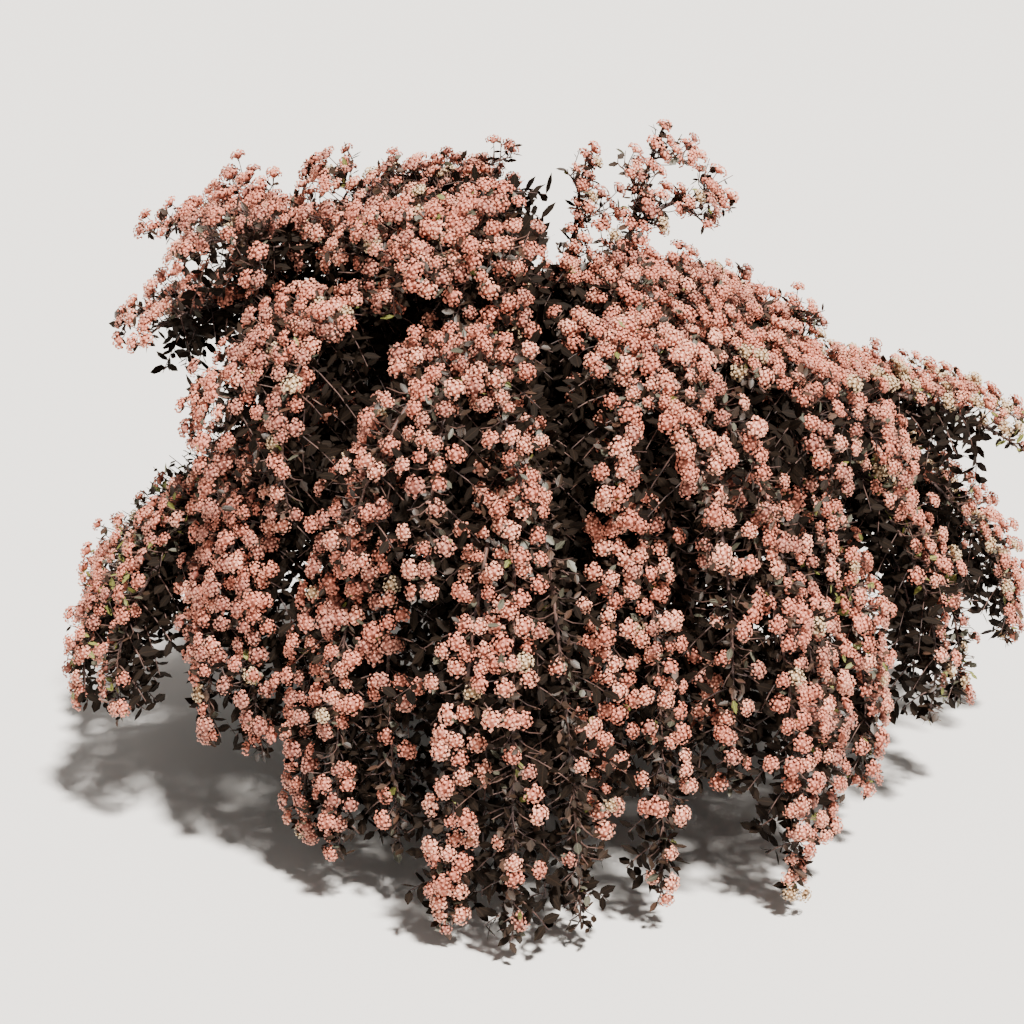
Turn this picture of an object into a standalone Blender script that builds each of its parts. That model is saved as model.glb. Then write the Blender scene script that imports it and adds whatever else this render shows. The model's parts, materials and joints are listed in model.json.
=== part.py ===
"""Ninebark shrub in blossom: a many-stemmed, arching shrub, 1.28 m tall and 1.94 m wide.

A woody stool at ground level carries one cane-like bough for each spray. Every spray is one mass:
a stem that arches over and hangs, with a lateral peeling off to each side, short twigs, leaves and
blossom heads. The sprays stand in three tiers: the skirt that hangs to the ground, the shoulders
that end half way down, and the crown on top with four long shoots. Metres, +Z up, the origin
on the ground under the stool, and the viewer of the photograph stands on the -Y side.
"""

import math
import random
from typing import NamedTuple

import bmesh
import bpy
from mathutils import Matrix, Vector
from mathutils.kdtree import KDTree

# Stool: the woody foot, cut flat at ground level
STOOL_TOP = 0.070
STOOL_TOP_RADIUS = 0.112
STOOL_WAIST_RADIUS = 0.118
STOOL_FOOT_RADIUS = 0.150
STOOL_SIDES = 20
ROOT_LOBES = 5
ROOT_LOBE_SHARE = 0.10

# Boughs: canes that stand on the stool and rise to their sprays
SEAT_GAP = 0.0003
BOUGH_POINTS = 4
BOUGH_ROUNDNESS = 1
BOUGH_BOW = 0.42
TIP_RUN_SHARE = 0.5
END_RUN = 0.02

# Sprays: the arch that a stem follows, and how its laterals leave it
ARCH_OVER_SHARE = 0.45
ARCH_LIFT = 0.06
ARCH_BULGE = 1.05
ARCH_DOWN_SHARE = 0.62
LATERAL_START = (0.16, 0.27)
LATERAL_SHRINK = 0.05

# Sprays: each line is a stem in a dense core of leafy twigs, with blossom and leaves outside it
LINE_POINTS = 6
LINE_ROUNDNESS = 0
STEM_RADIUS = 0.0048
CORE_BARE = 0.04
CORE_FULL = 0.26
CORE_TIP_SHARE = 0.55
CORE_ROOM_SHARE = 0.42
TWIG_LENGTH = 0.034
TWIG_RADIUS = 0.0030
TWIG_LEAN = math.radians(62)
TWIG_OUTWARD, TWIG_UPWARD = 0.8, 0.75
TWIG_SPREAD = 1.1
TWIG_SPACING = 0.220
HEAD_RADIUS = 0.044
HEAD_FLATNESS = 0.70
HEAD_SINK = 0.35
LEAF_LENGTH = 0.086
LEAF_WIDTH = 0.048
LEAF_THICKNESS = 0.0042
LEAF_WIDEST_AT = 0.42
LEAF_SINK = 0.016
LEAF_SPACING = 0.336
NEXT_TURN = math.radians(137.5)

# Room between things that must not touch
SKELETON_STEP = 0.012
OWN_SPACE_MARGIN = 0.006
BOUGH_CLEARANCE = 0.006
GROUND_CLEARANCE = 0.006


class Tier(NamedTuple):
    """What the sprays of one tier share."""

    name: str
    start_radius: float
    start_height: float
    foot_ring: float
    foot_radius: float
    tip_radius: float
    core: float
    spread: float


SKIRT = Tier("skirt", 0.30, 0.80, 0.092, 0.0100, 0.0060, 0.040, 8.5)
SHOULDER = Tier("shoulder", 0.20, 0.87, 0.055, 0.0095, 0.0058, 0.042, 13.0)
CROWN = Tier("crown", 0.055, 0.93, 0.022, 0.0090, 0.0056, 0.052, 28.0)


class Spray(NamedTuple):
    """One spray: azimuth in degrees from the viewer's side towards the right, the height its arch
    rises towards, the radius and height of its tip, and how far down the stem's length its right
    and left laterals reach."""

    tier: Tier
    azimuth: float
    rise: float
    reach: float
    tip: float
    ends: tuple = (0.92, 0.88)


# Skirt sprays of the viewer's half, from the left side round the front to the right side
SKIRT_SEEN = (
    Spray(SKIRT, -98, 0.555, 0.86, 0.20),
    Spray(SKIRT, -72, 0.60, 0.83, 0.23, (0.98, 0.96)),
    Spray(SKIRT, -51, 0.80, 0.69, 0.235, (1.00, 0.90)),
    Spray(SKIRT, -27, 0.87, 0.67, 0.10, (0.99, 1.00)),
    Spray(SKIRT, -1, 0.88, 0.785, 0.045, (1.00, 1.00)),
    Spray(SKIRT, 19, 0.88, 0.71, 0.055, (0.80, 0.91)),
    Spray(SKIRT, 36, 0.86, 0.775, 0.05, (0.96, 0.86)),
    Spray(SKIRT, 57, 0.80, 0.72, 0.13, (0.97, 0.94)),
    Spray(SKIRT, 79, 0.70, 0.83, 0.19, (0.97, 0.99)),
    Spray(SKIRT, 100, 0.655, 1.00, 0.18),
)
SKIRT_BACK_FIRST = Spray(SKIRT, 128, 0.85, 0.71, 0.14)
SKIRT_BACK_STEP, SKIRT_BACK_COUNT = 26.5, 5

SHOULDER_SEEN = (
    Spray(SHOULDER, -86, 0.94, 0.72, 0.87),
    Spray(SHOULDER, -50, 1.02, 0.66, 0.65, (0.98, 0.88)),
    Spray(SHOULDER, -12, 0.97, 0.70, 0.60, (0.82, 0.98)),
    Spray(SHOULDER, 25, 0.96, 0.70, 0.62, (0.98, 0.82)),
    Spray(SHOULDER, 60, 0.87, 0.74, 0.64),
    Spray(SHOULDER, 95, 0.715, 0.97, 0.65),
)
SHOULDER_BACK_FIRST = Spray(SHOULDER, 132, 0.85, 0.67, 0.69)
SHOULDER_BACK_STEP, SHOULDER_BACK_COUNT = 46, 3

CROWN_SPRAYS = (
    Spray(CROWN, -88, 1.07, 0.68, 1.045),
    Spray(CROWN, -31, 1.165, 0.41, 0.97),
    Spray(CROWN, 54, 0.98, 0.42, 0.90),
    Spray(CROWN, 120, 0.90, 0.50, 0.84),
    Spray(CROWN, 212, 1.145, 0.40, 1.01),
)


class Shoot(NamedTuple):
    """A long shoot: the spray that bears it, how far along, its azimuth, its top's radius
    and height, and those of its arm's tip where it has one."""

    bearer: Spray
    leaves_at: float
    azimuth: float
    top: tuple
    arm: tuple = ()


# Four long shoots leave the crown: the tallest, on the right, throws an arm outwards
SHOOTS = (
    Shoot(CROWN_SPRAYS[2], 0.33, 88, (0.255, 1.237), (0.380, 1.09)),
    Shoot(CROWN_SPRAYS[2], 0.14, 90, (0.122, 1.192)),
    Shoot(CROWN_SPRAYS[3], 0.55, 93, (0.560, 0.865)),
    Shoot(CROWN_SPRAYS[1], 0.45, -88, (0.385, 1.165)),
)
SHOOT_BOW = 0.02
SHOOT_ARM_ARCH = 0.05
SHOOT_CORE = 0.022

BARK_COLOUR, BARK_ROUGHNESS = (0.115, 0.075, 0.055, 1.0), 0.85
SPRAY_COLOUR, SPRAY_ROUGHNESS = (0.60, 0.33, 0.28, 1.0), 0.80


class Growth(NamedTuple):
    """A bough and its spray: name, tier, the bough's foot, the spray's lines and their cores."""

    name: str
    tier: Tier
    foot: Vector
    lines: list
    cores: list


def back_sprays(first, step, count):
    """Sprays of the far half like the given one, with a seeded difference in place and size."""
    chance = random.Random(f"{first.tier.name} back")
    return tuple(
        first._replace(
            azimuth=first.azimuth + step * k + chance.uniform(-3, 3),
            rise=first.rise + chance.uniform(-0.01, 0.02),
            reach=first.reach + chance.uniform(-0.03, 0.03),
            tip=first.tip + chance.uniform(-0.05, 0.05),
        )
        for k in range(count)
    )


def polar(azimuth, radius, height):
    """A point from its azimuth in degrees, its distance from the plant's axis and its height."""
    turn = math.radians(azimuth)
    return Vector((radius * math.sin(turn), -radius * math.cos(turn), height))


def bezier(p0, p1, p2, p3, share):
    left = 1 - share
    return p0 * left**3 + p1 * 3 * left**2 * share + p2 * 3 * left * share**2 + p3 * share**3


def spray_path(spray, share):
    """The stem's line: out from the bough's tip, over the top of its arch and down to its tip."""
    tier = spray.tier
    over = tier.start_radius + ARCH_OVER_SHARE * (spray.reach - tier.start_radius)
    down = spray.tip + ARCH_DOWN_SHARE * (spray.rise - spray.tip)
    return bezier(
        polar(spray.azimuth, tier.start_radius, tier.start_height),
        polar(spray.azimuth, over, spray.rise + ARCH_LIFT),
        polar(spray.azimuth, spray.reach * ARCH_BULGE, down),
        polar(spray.azimuth, spray.reach, spray.tip),
        share,
    )


def lateral_path(spray, side, span, share):
    """A lateral follows the stem's arch, turns away round the plant and stops short of its tip."""
    first, last = span
    point = spray_path(spray, first + (last - first) * share)
    turned = Matrix.Rotation(math.radians(side * spray.tier.spread) * share**0.7, 3, "Z") @ point
    shrink = 1 - LATERAL_SHRINK * share
    return Vector((turned.x * shrink, turned.y * shrink, turned.z))


def even_shares(count):
    return [k / (count - 1) for k in range(count)]


def skeleton(spray):
    """The stem and laterals of a spray, as lists of points."""
    lines = [[spray_path(spray, share) for share in even_shares(LINE_POINTS)]]
    for side, span in zip((1, -1), zip(LATERAL_START, spray.ends)):
        shares = even_shares(LINE_POINTS - 1)
        lines.append([lateral_path(spray, side, span, share) for share in shares])
    return lines


def shoot_lines(shoot):
    """The lines of a long shoot and of the arm that leaves it."""
    foot = spray_path(shoot.bearer, shoot.leaves_at)
    top = polar(shoot.azimuth, *shoot.top)
    bend = foot.lerp(top, 0.5) - Vector((SHOOT_BOW, 0, 0))
    first = foot.lerp(bend, 0.6)
    lines = [[bezier(foot, first, bend, top, share) for share in even_shares(LINE_POINTS)]]
    if shoot.arm:
        root = lines[0][2]
        tip = polar(shoot.azimuth, *shoot.arm)
        knee = root.lerp(tip, 0.5) + Vector((0, 0, SHOOT_ARM_ARCH))
        lines.append([bezier(root, root.lerp(knee, 0.7), knee, tip, t) for t in even_shares(4)])
    return lines


def bough_path(foot, spray_start, spray_way):
    """A cane: upright where it leaves the stool, and in line with its spray where it ends."""
    height = spray_start.z - foot.z
    end = spray_start - spray_way * SEAT_GAP
    upright = foot + Vector((0, 0, height * BOUGH_BOW))
    into = end - spray_way * TIP_RUN_SHARE * spray_start.xy.length
    points = [bezier(foot, upright, into, end, share) for share in even_shares(BOUGH_POINTS)]
    # A cap faces along the run that ends in it: upright on the stool, and in line at the spray.
    return [foot, foot + Vector((0, 0, END_RUN)), *points[1:-1], end - spray_way * END_RUN, end]


def mesh_object(name, mesh, collection):
    made = bpy.data.objects.new(name, mesh)
    collection.objects.link(made)
    return made


def tube(name, points, radii, resolution, collection):
    """A tapering limb: a bevelled curve made a closed mesh."""
    curve = bpy.data.curves.new(name, "CURVE")
    curve.dimensions = "3D"
    curve.bevel_depth = 1.0
    curve.bevel_resolution = resolution
    curve.use_fill_caps = True
    spline = curve.splines.new("POLY")
    spline.points.add(len(points) - 1)
    for node, point, radius in zip(spline.points, points, radii):
        node.co = (*point, 1)
        node.radius = radius
    guide = bpy.data.objects.new(name + "_line", curve)
    bpy.context.scene.collection.objects.link(guide)
    graph = bpy.context.evaluated_depsgraph_get()
    mesh = bpy.data.meshes.new_from_object(guide.evaluated_get(graph))
    bpy.data.objects.remove(guide)
    weld(mesh)
    mesh.name = name
    return mesh_object(name, mesh, collection)


def weld(mesh):
    work = bmesh.new()
    work.from_mesh(mesh)
    bmesh.ops.remove_doubles(work, verts=work.verts, dist=1e-6)
    work.to_mesh(mesh)
    work.free()


def frame_along(origin, way, facing):
    """A matrix whose Z runs along way and whose X lies towards facing."""
    z_axis = way.normalized()
    y_axis = z_axis.cross(facing).normalized()
    x_axis = y_axis.cross(z_axis)
    turn = Matrix((x_axis, y_axis, z_axis)).transposed().to_4x4()
    return Matrix.Translation(origin) @ turn


def twig_mesh(name, root, tip):
    way = tip - root
    work = bmesh.new()
    bmesh.ops.create_cone(
        work,
        cap_ends=True,
        segments=3,
        radius1=TWIG_RADIUS,
        radius2=TWIG_RADIUS * 0.8,
        depth=way.length,
        matrix=frame_along((root + tip) / 2, way, way.orthogonal()),
    )
    return finished(name, work)


def head_mesh(name, centre, way, radius):
    """A blossom head: a flattened dome of six sides, square to the twig that bears it."""
    work = bmesh.new()
    shape = frame_along(centre, way, way.orthogonal()) @ Matrix.Diagonal((1, 1, HEAD_FLATNESS, 1))
    bmesh.ops.create_uvsphere(work, u_segments=6, v_segments=2, radius=radius, matrix=shape)
    return finished(name, work)


def leaf_mesh(name, root, way, facing, length):
    """A leaf of eight faces, widest a little below its middle."""
    work = bmesh.new()
    share = length / LEAF_LENGTH
    bmesh.ops.create_uvsphere(work, u_segments=4, v_segments=2, radius=0.5)
    for corner in work.verts:
        along = corner.co.z + 0.5
        if 0 < round(along, 3) < 1:
            along = LEAF_WIDEST_AT
        corner.co = Vector(
            (corner.co.x * LEAF_THICKNESS, corner.co.y * LEAF_WIDTH * share, along * length)
        )
    bmesh.ops.transform(work, matrix=frame_along(root, way, facing), verts=work.verts)
    return finished(name, work)


def finished(name, work):
    bmesh.ops.recalc_face_normals(work, faces=work.faces)
    mesh = bpy.data.meshes.new(name)
    work.to_mesh(mesh)
    work.free()
    return mesh


def resampled(points, step):
    """Points about a step apart along a line, with the direction of the line at each."""
    found = []
    for a, b in zip(points, points[1:]):
        way = (b - a).normalized()
        count = max(1, round((b - a).length / step))
        found += [(a.lerp(b, k / count), way) for k in range(count)]
    return found + [(points[-1], way)]


def tree_of(entries):
    """A search tree over (point, value) pairs, and the values."""
    tree = KDTree(len(entries))
    for k, (point, _) in enumerate(entries):
        tree.insert(point, k)
    tree.balance()
    return tree, [value for _, value in entries]


class Room:
    """Says how much room a spray has: its own space, clear of the boughs and the ground."""

    def __init__(self, skeletons, boughs):
        entries = [
            (point, owner)
            for owner, lines in enumerate(skeletons)
            for line in lines
            for point, _ in resampled(line, SKELETON_STEP)
        ]
        self.own = [tree_of([e for e in entries if e[1] == k])[0] for k in range(len(skeletons))]
        self.others = [tree_of([e for e in entries if e[1] != k])[0] for k in range(len(skeletons))]
        wood = []
        for line, radii in boughs:
            for (point, _), share in along_with_share(line):
                wood.append((point, radii[0] + (radii[-1] - radii[0]) * share))
        self.wood, self.wood_radius = tree_of(wood)

    def holds(self, owner, mesh):
        """Tests a solid by its corners and the middles of its edges and faces."""
        corners = [v.co for v in mesh.vertices]
        middles = [(corners[e.vertices[0]] + corners[e.vertices[1]]) / 2 for e in mesh.edges]
        for point in corners + middles + [face.center for face in mesh.polygons]:
            apart = self.others[owner].find(point)[2]
            if self.own[owner].find(point)[2] > apart - OWN_SPACE_MARGIN:
                return False
            if self.clear_of_wood(point) < 0 or point.z < GROUND_CLEARANCE:
                return False
        return True

    def clear_of_wood(self, point):
        _, nearest, distance = self.wood.find(point)
        return distance - self.wood_radius[nearest] - BOUGH_CLEARANCE

    def core_radii(self, owner, line, core):
        """The core swells from the bare stem to its full size and tapers towards the tip."""
        radii = []
        for k, share in enumerate(even_shares(len(line))):
            swell = min(max((share - CORE_BARE) / (CORE_FULL - CORE_BARE), 0), 1)
            taper = 1 - (1 - CORE_TIP_SHARE) * max((share - CORE_FULL) / (1 - CORE_FULL), 0)
            full = STEM_RADIUS + (core - STEM_RADIUS) * swell * taper
            beside = resampled(line[max(k - 1, 0) : k + 2], SKELETON_STEP)
            apart = min(self.others[owner].find(point)[2] for point, _ in beside)
            point = line[k]
            room = min(self.clear_of_wood(point), point.z - GROUND_CLEARANCE)
            radii.append(max(min(full, apart * CORE_ROOM_SHARE, room), STEM_RADIUS))
        return radii


def along_with_share(line):
    places = resampled(line, SKELETON_STEP)
    return [(place, k / (len(places) - 1)) for k, place in enumerate(places)]


def twig_way(point, way, turn):
    """The direction of a side twig: off the stem, turned round it from its outer, upper side."""
    outward = Vector((point.x, point.y, 0)).normalized() * TWIG_OUTWARD
    outward.z = TWIG_UPWARD
    outer = (outward - way * outward.dot(way)).normalized()
    beside = way.cross(outer)
    across = outer * math.cos(turn) + beside * math.sin(turn)
    return (way * math.cos(TWIG_LEAN) + across * math.sin(TWIG_LEAN)).normalized()


def spaced_places(line, radii, spacing, first):
    """Places along a line from its tip back: point, direction and the core's radius there."""
    places = along_with_share(line)
    every = round(spacing / SKELETON_STEP)
    for k in range(len(places) - 1 - round(first * every), 3, -every):
        (point, way), share = places[k]
        run = share * (len(radii) - 1)
        before = min(int(run), len(radii) - 2)
        yield point, way, radii[before] + (radii[before + 1] - radii[before]) * (run - before)


def grow(name, owner, lines, cores, room):
    """The separate solids of a spray: blossom heads, some on twigs, and leaves between them."""
    chance = random.Random(name)
    pieces = []
    for line, radii in zip(lines, cores):
        turn = chance.uniform(0, math.tau)
        seated = False
        for point, way, core in spaced_places(line, radii, TWIG_SPACING, 0):
            turn += NEXT_TURN
            seated = not seated
            tilt = twig_way(point, way, TWIG_SPREAD * math.sin(turn))
            radius = HEAD_RADIUS * chance.uniform(0.88, 1.12)
            stand = max(core - radius * HEAD_SINK, radius * 0.4) if seated else core + TWIG_LENGTH
            tip = point + tilt * stand
            group = [head_mesh(f"{name}_head", tip, tilt, radius)]
            if not seated:
                group.append(twig_mesh(f"{name}_twig", point, tip))
            if all(room.holds(owner, mesh) for mesh in group):
                pieces += group
        for point, way, core in spaced_places(line, radii, LEAF_SPACING, 0.5):
            turn += NEXT_TURN
            tilt = twig_way(point, way, turn)
            root = point + tilt * max(core - LEAF_SINK, 0)
            length = LEAF_LENGTH * chance.uniform(0.85, 1.15)
            facing = (way + Vector((0, 0, 0.3))).normalized()
            blade = leaf_mesh(f"{name}_leaf", root, tilt, facing, length)
            if room.holds(owner, blade):
                pieces.append(blade)
    return pieces


def whole_body(mesh):
    """Keeps the largest shell: a hollow sealed by the union is filled and a loose scrap dropped."""
    work = bmesh.new()
    work.from_mesh(mesh)
    bmesh.ops.triangulate(work, faces=work.faces)
    left = set(work.faces)
    shells = []
    while left:
        shell = [left.pop()]
        for face in shell:
            for edge in face.edges:
                for beside in edge.link_faces:
                    if beside in left:
                        left.remove(beside)
                        shell.append(beside)
        shells.append(shell)
    largest = max(shells, key=len)
    for shell in shells:
        if shell is not largest:
            bmesh.ops.delete(work, geom=shell, context="FACES")
    work.to_mesh(mesh)
    work.free()


def fuse(stem, pieces):
    """Joins a spray's solids to its stem by one union on their collection."""
    joined = bpy.data.collections.new(stem.name + "_joined")
    bpy.context.scene.collection.children.link(joined)
    for mesh in pieces:
        mesh_object(mesh.name, mesh, joined)
    union = stem.modifiers.new("union", "BOOLEAN")
    union.operation = "UNION"
    union.operand_type = "COLLECTION"
    union.collection = joined
    union.solver = "MANIFOLD"
    graph = bpy.context.evaluated_depsgraph_get()
    fused = bpy.data.meshes.new_from_object(stem.evaluated_get(graph))
    stem.modifiers.clear()
    stem.data = fused
    for part in list(joined.objects):
        bpy.data.objects.remove(part)
    bpy.data.collections.remove(joined)
    whole_body(fused)


def material(name, colour, roughness):
    made = bpy.data.materials.new(name)
    made.use_nodes = True
    shader = made.node_tree.nodes["Principled BSDF"]
    shader.inputs["Base Color"].default_value = colour
    shader.inputs["Roughness"].default_value = roughness
    return made


def dress(thing, finish):
    thing.data.materials.clear()
    thing.data.materials.append(finish)


def make_stool(collection):
    """The foot: a turned profile whose lower edge is pushed out in root lobes."""
    profile = bpy.data.meshes.new("stool")
    outline = [
        (0.0, STOOL_TOP),
        (STOOL_TOP_RADIUS, STOOL_TOP),
        (STOOL_WAIST_RADIUS, STOOL_TOP * 0.72),
        (STOOL_WAIST_RADIUS * 1.05, STOOL_TOP * 0.30),
        (STOOL_FOOT_RADIUS, 0.0),
        (0.0, 0.0),
    ]
    edges = [(k, k + 1) for k in range(len(outline) - 1)]
    profile.from_pydata([(radius, 0, height) for radius, height in outline], edges, [])
    stool = mesh_object("stool", profile, collection)
    turning = stool.modifiers.new("turning", "SCREW")
    turning.steps = turning.render_steps = STOOL_SIDES
    turning.use_merge_vertices = True
    turning.merge_threshold = 0.0001
    graph = bpy.context.evaluated_depsgraph_get()
    stool.data = bpy.data.meshes.new_from_object(stool.evaluated_get(graph))
    stool.modifiers.clear()
    for corner in stool.data.vertices:
        low = 1 - corner.co.z / STOOL_TOP
        angle = math.atan2(corner.co.y, corner.co.x)
        swell = 1 + ROOT_LOBE_SHARE * low**2 * math.cos(ROOT_LOBES * angle + 0.6)
        corner.co.x *= swell
        corner.co.y *= swell
    weld(stool.data)
    return stool


def named_sprays():
    """Every bough and its spray, tier by tier; three of the crown also bear long shoots."""
    skirt = SKIRT_SEEN + back_sprays(SKIRT_BACK_FIRST, SKIRT_BACK_STEP, SKIRT_BACK_COUNT)
    shoulder_back = back_sprays(SHOULDER_BACK_FIRST, SHOULDER_BACK_STEP, SHOULDER_BACK_COUNT)
    shoulder = SHOULDER_SEEN + shoulder_back
    found = []
    for tier, sprays in ((SKIRT, skirt), (SHOULDER, shoulder), (CROWN, CROWN_SPRAYS)):
        for k, spray in enumerate(sprays):
            place = sprays[0].azimuth + 360 * k / len(sprays)
            foot = polar(place, tier.foot_ring, STOOL_TOP + SEAT_GAP)
            lines = skeleton(spray)
            cores = [tier.core] * len(lines)
            for extra in (shoot_lines(shoot) for shoot in SHOOTS if shoot.bearer is spray):
                lines += extra
                cores += [SHOOT_CORE] * len(extra)
            found.append(Growth(f"{tier.name}_{k + 1:02d}", tier, foot, lines, cores))
    return found


def main():
    for old in list(bpy.data.objects):
        bpy.data.objects.remove(old)
    shrub = bpy.data.collections.new("ninebark_shrub")
    bpy.context.scene.collection.children.link(shrub)
    bark = material("bark", BARK_COLOUR, BARK_ROUGHNESS)
    blossom = material("blossoming_spray", SPRAY_COLOUR, SPRAY_ROUGHNESS)
    dress(make_stool(shrub), bark)

    sprays = named_sprays()
    boughs = []
    for spray in sprays:
        start, onward = spray.lines[0][:2]
        line = bough_path(spray.foot, start, (onward - start).normalized())
        thick, thin = spray.tier.foot_radius, spray.tier.tip_radius
        boughs.append((line, [thick + (thin - thick) * share for share in even_shares(len(line))]))
    room = Room([spray.lines for spray in sprays], boughs)

    for owner, (spray, (line, radii)) in enumerate(zip(sprays, boughs)):
        dress(tube(f"bough_{spray.name}", line, radii, BOUGH_ROUNDNESS, shrub), bark)
        name = f"spray_{spray.name}"
        cores = [
            room.core_radii(owner, points, core) for points, core in zip(spray.lines, spray.cores)
        ]
        stem, *laterals = [
            tube(name, points, core, LINE_ROUNDNESS, shrub)
            for points, core in zip(spray.lines, cores)
        ]
        pieces = [lateral.data for lateral in laterals]
        for lateral in laterals:
            bpy.data.objects.remove(lateral)
        fuse(stem, pieces + grow(name, owner, spray.lines, cores, room))
        dress(stem, blossom)


main()
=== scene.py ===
"""A ninebark shrub in full blossom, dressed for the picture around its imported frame.

Metres, +Z up, the origin on the ground under the woody foot, the viewer on the -Y side. The
shrub is put together from the ground up: woody foot, canes, arching stems, branchlets, side
twigs, inner shoots, leaves and blossom heads. Floor, light and camera come last.
"""

import json
import math
import random
from itertools import product
from typing import NamedTuple

import bpy
from mathutils import Matrix, Vector, noise
from mathutils.kdtree import KDTree

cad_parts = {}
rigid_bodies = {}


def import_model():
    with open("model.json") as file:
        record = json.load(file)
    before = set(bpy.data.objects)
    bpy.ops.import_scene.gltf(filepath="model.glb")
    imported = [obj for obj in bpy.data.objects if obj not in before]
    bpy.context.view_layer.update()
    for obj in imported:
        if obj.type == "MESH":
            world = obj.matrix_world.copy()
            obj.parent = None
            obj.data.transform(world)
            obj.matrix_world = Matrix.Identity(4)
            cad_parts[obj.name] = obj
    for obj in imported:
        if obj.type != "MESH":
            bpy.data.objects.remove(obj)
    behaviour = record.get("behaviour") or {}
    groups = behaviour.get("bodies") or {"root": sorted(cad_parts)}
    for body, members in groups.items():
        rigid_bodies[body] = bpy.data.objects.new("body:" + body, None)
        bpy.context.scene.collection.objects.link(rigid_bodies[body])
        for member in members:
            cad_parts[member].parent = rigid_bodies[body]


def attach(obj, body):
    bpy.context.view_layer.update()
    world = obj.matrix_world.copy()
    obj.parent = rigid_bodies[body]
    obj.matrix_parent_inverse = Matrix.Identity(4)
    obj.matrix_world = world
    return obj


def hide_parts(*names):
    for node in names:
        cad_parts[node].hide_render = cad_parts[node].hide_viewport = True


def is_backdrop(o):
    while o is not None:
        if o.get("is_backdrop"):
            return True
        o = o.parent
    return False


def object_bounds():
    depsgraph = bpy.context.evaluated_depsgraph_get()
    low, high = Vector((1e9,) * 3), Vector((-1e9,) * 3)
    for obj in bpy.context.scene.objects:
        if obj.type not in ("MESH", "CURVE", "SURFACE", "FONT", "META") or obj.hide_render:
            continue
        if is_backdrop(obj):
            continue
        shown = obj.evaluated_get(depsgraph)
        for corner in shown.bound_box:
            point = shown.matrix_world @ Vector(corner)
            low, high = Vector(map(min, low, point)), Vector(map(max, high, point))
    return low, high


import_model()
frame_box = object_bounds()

# Woody foot: the crowded bases of the old canes, grown together into one low stump. It is cut
# flat at the ground, swells there in root lobes, and its grey-brown bark splits into strips.
FOOT_OUTLINE = (
    (0.1500, 0.000), (0.1400, 0.008), (0.1290, 0.018), (0.1225, 0.032), (0.1190, 0.048),
    (0.1160, 0.060), (0.1090, 0.068), (0.0900, 0.0715), (0.0600, 0.073), (0.0300, 0.0735),
)
FOOT_HEIGHT = 0.0735
FOOT_SIDES = 144
ROOT_LOBES, ROOT_LOBE_SHARE, ROOT_LOBE_TURN = 5, 0.10, 0.6
# Ridges of the bark, coarse and fine: how close round the foot and up it, and how bold.
FOOT_RIDGES = ((9, 14, 1.0), (23, 30, 0.5))
BARK_RIDGE = 0.0032
RIDGE_FADE, RIDGE_LIFT = 0.1, 0.5
BARK_RISE = 14
TOP_EDGE, TOP_STRETCH = 0.12, 30
BARK_DARK = (0.030, 0.022, 0.018, 1)
BARK_BROWN = (0.105, 0.070, 0.052, 1)
BARK_PEEL = (0.300, 0.235, 0.180, 1)


def node(tree, kind, sockets=None, **settings):
    """Adds a node with its settings; a socket takes a value or another node's output."""
    made = tree.nodes.new(kind)
    for setting, value in settings.items():
        setattr(made, setting, value)
    for socket, value in (sockets or {}).items():
        if isinstance(value, bpy.types.NodeSocket):
            tree.links.new(value, made.inputs[socket])
        else:
            made.inputs[socket].default_value = value
    return made.outputs


def maths(tree, operation, *values, **settings):
    """Works out one step of arithmetic on values and other nodes' outputs."""
    sockets = dict(enumerate(values))
    return node(tree, "ShaderNodeMath", sockets, operation=operation, **settings)[0]


def colour_steps(tree, share, steps):
    """A colour ramp with a stop for each (share, colour)."""
    ramp = tree.nodes.new("ShaderNodeValToRGB")
    stops = ramp.color_ramp.elements
    for stop, (place, colour) in zip((stops[0], stops[1]), steps):
        stop.position, stop.color = place, colour
    for place, colour in steps[2:]:
        stops.new(place).color = colour
    tree.links.new(share, ramp.inputs["Fac"])
    return ramp.outputs["Color"]


def new_finish(name, roughness):
    """A finish with its shader's own roughness set."""
    made = bpy.data.materials.new(name)
    made.use_nodes = True
    surface = made.node_tree.nodes["Principled BSDF"].inputs
    surface["Roughness"].default_value = roughness
    return made, made.node_tree, surface


def emboss(tree, surface, height, strength, distance):
    """Shades the surface as if it stood out where the height is greater."""
    sockets = {"Strength": strength, "Distance": distance, "Height": height}
    tree.links.new(node(tree, "ShaderNodeBump", sockets)[0], surface["Normal"])


def bark_finish():
    """Peeling bark: long strips round the limb, dark in the splits and pale where they lift."""
    made, tree, surface = new_finish("ninebark_bark", roughness=0.86)
    place = node(tree, "ShaderNodeAttribute", attribute_name="bark_place")["Vector"]
    sockets = {"Vector": place, "Scale": 2.4, "Detail": 6.0, "Roughness": 0.62, "Distortion": 0.4}
    strips = node(tree, "ShaderNodeTexNoise", sockets)[0]
    steps = ((0.36, BARK_DARK), (0.52, BARK_BROWN), (0.66, BARK_BROWN), (0.78, BARK_PEEL))
    tree.links.new(colour_steps(tree, strips, steps), surface["Base Color"])
    grain = node(tree, "ShaderNodeTexNoise", {"Vector": place, "Scale": 11.0, "Detail": 4.0})[0]
    emboss(tree, surface, maths(tree, "ADD", strips, grain), strength=0.7, distance=0.0015)
    return made


def new_mesh(name, corners, edges=(), faces=()):
    """A mesh from its corners and what joins them."""
    made = bpy.data.meshes.new(name)
    made.from_pydata(corners, edges, faces)
    return made


def marked(mesh, label, kind, values):
    """Writes an attribute on a mesh, one value for each corner."""
    layer = mesh.attributes.new(label, kind, "POINT")
    if kind == "FLOAT_VECTOR":
        layer.data.foreach_set("vector", [part for value in values for part in value])
    else:
        layer.data.foreach_set("value", values)
    return mesh


def placed(name, data):
    """Puts an object into the scene, at the origin and unturned."""
    made = bpy.data.objects.new(name, data)
    bpy.context.scene.collection.objects.link(made)
    return made


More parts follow.
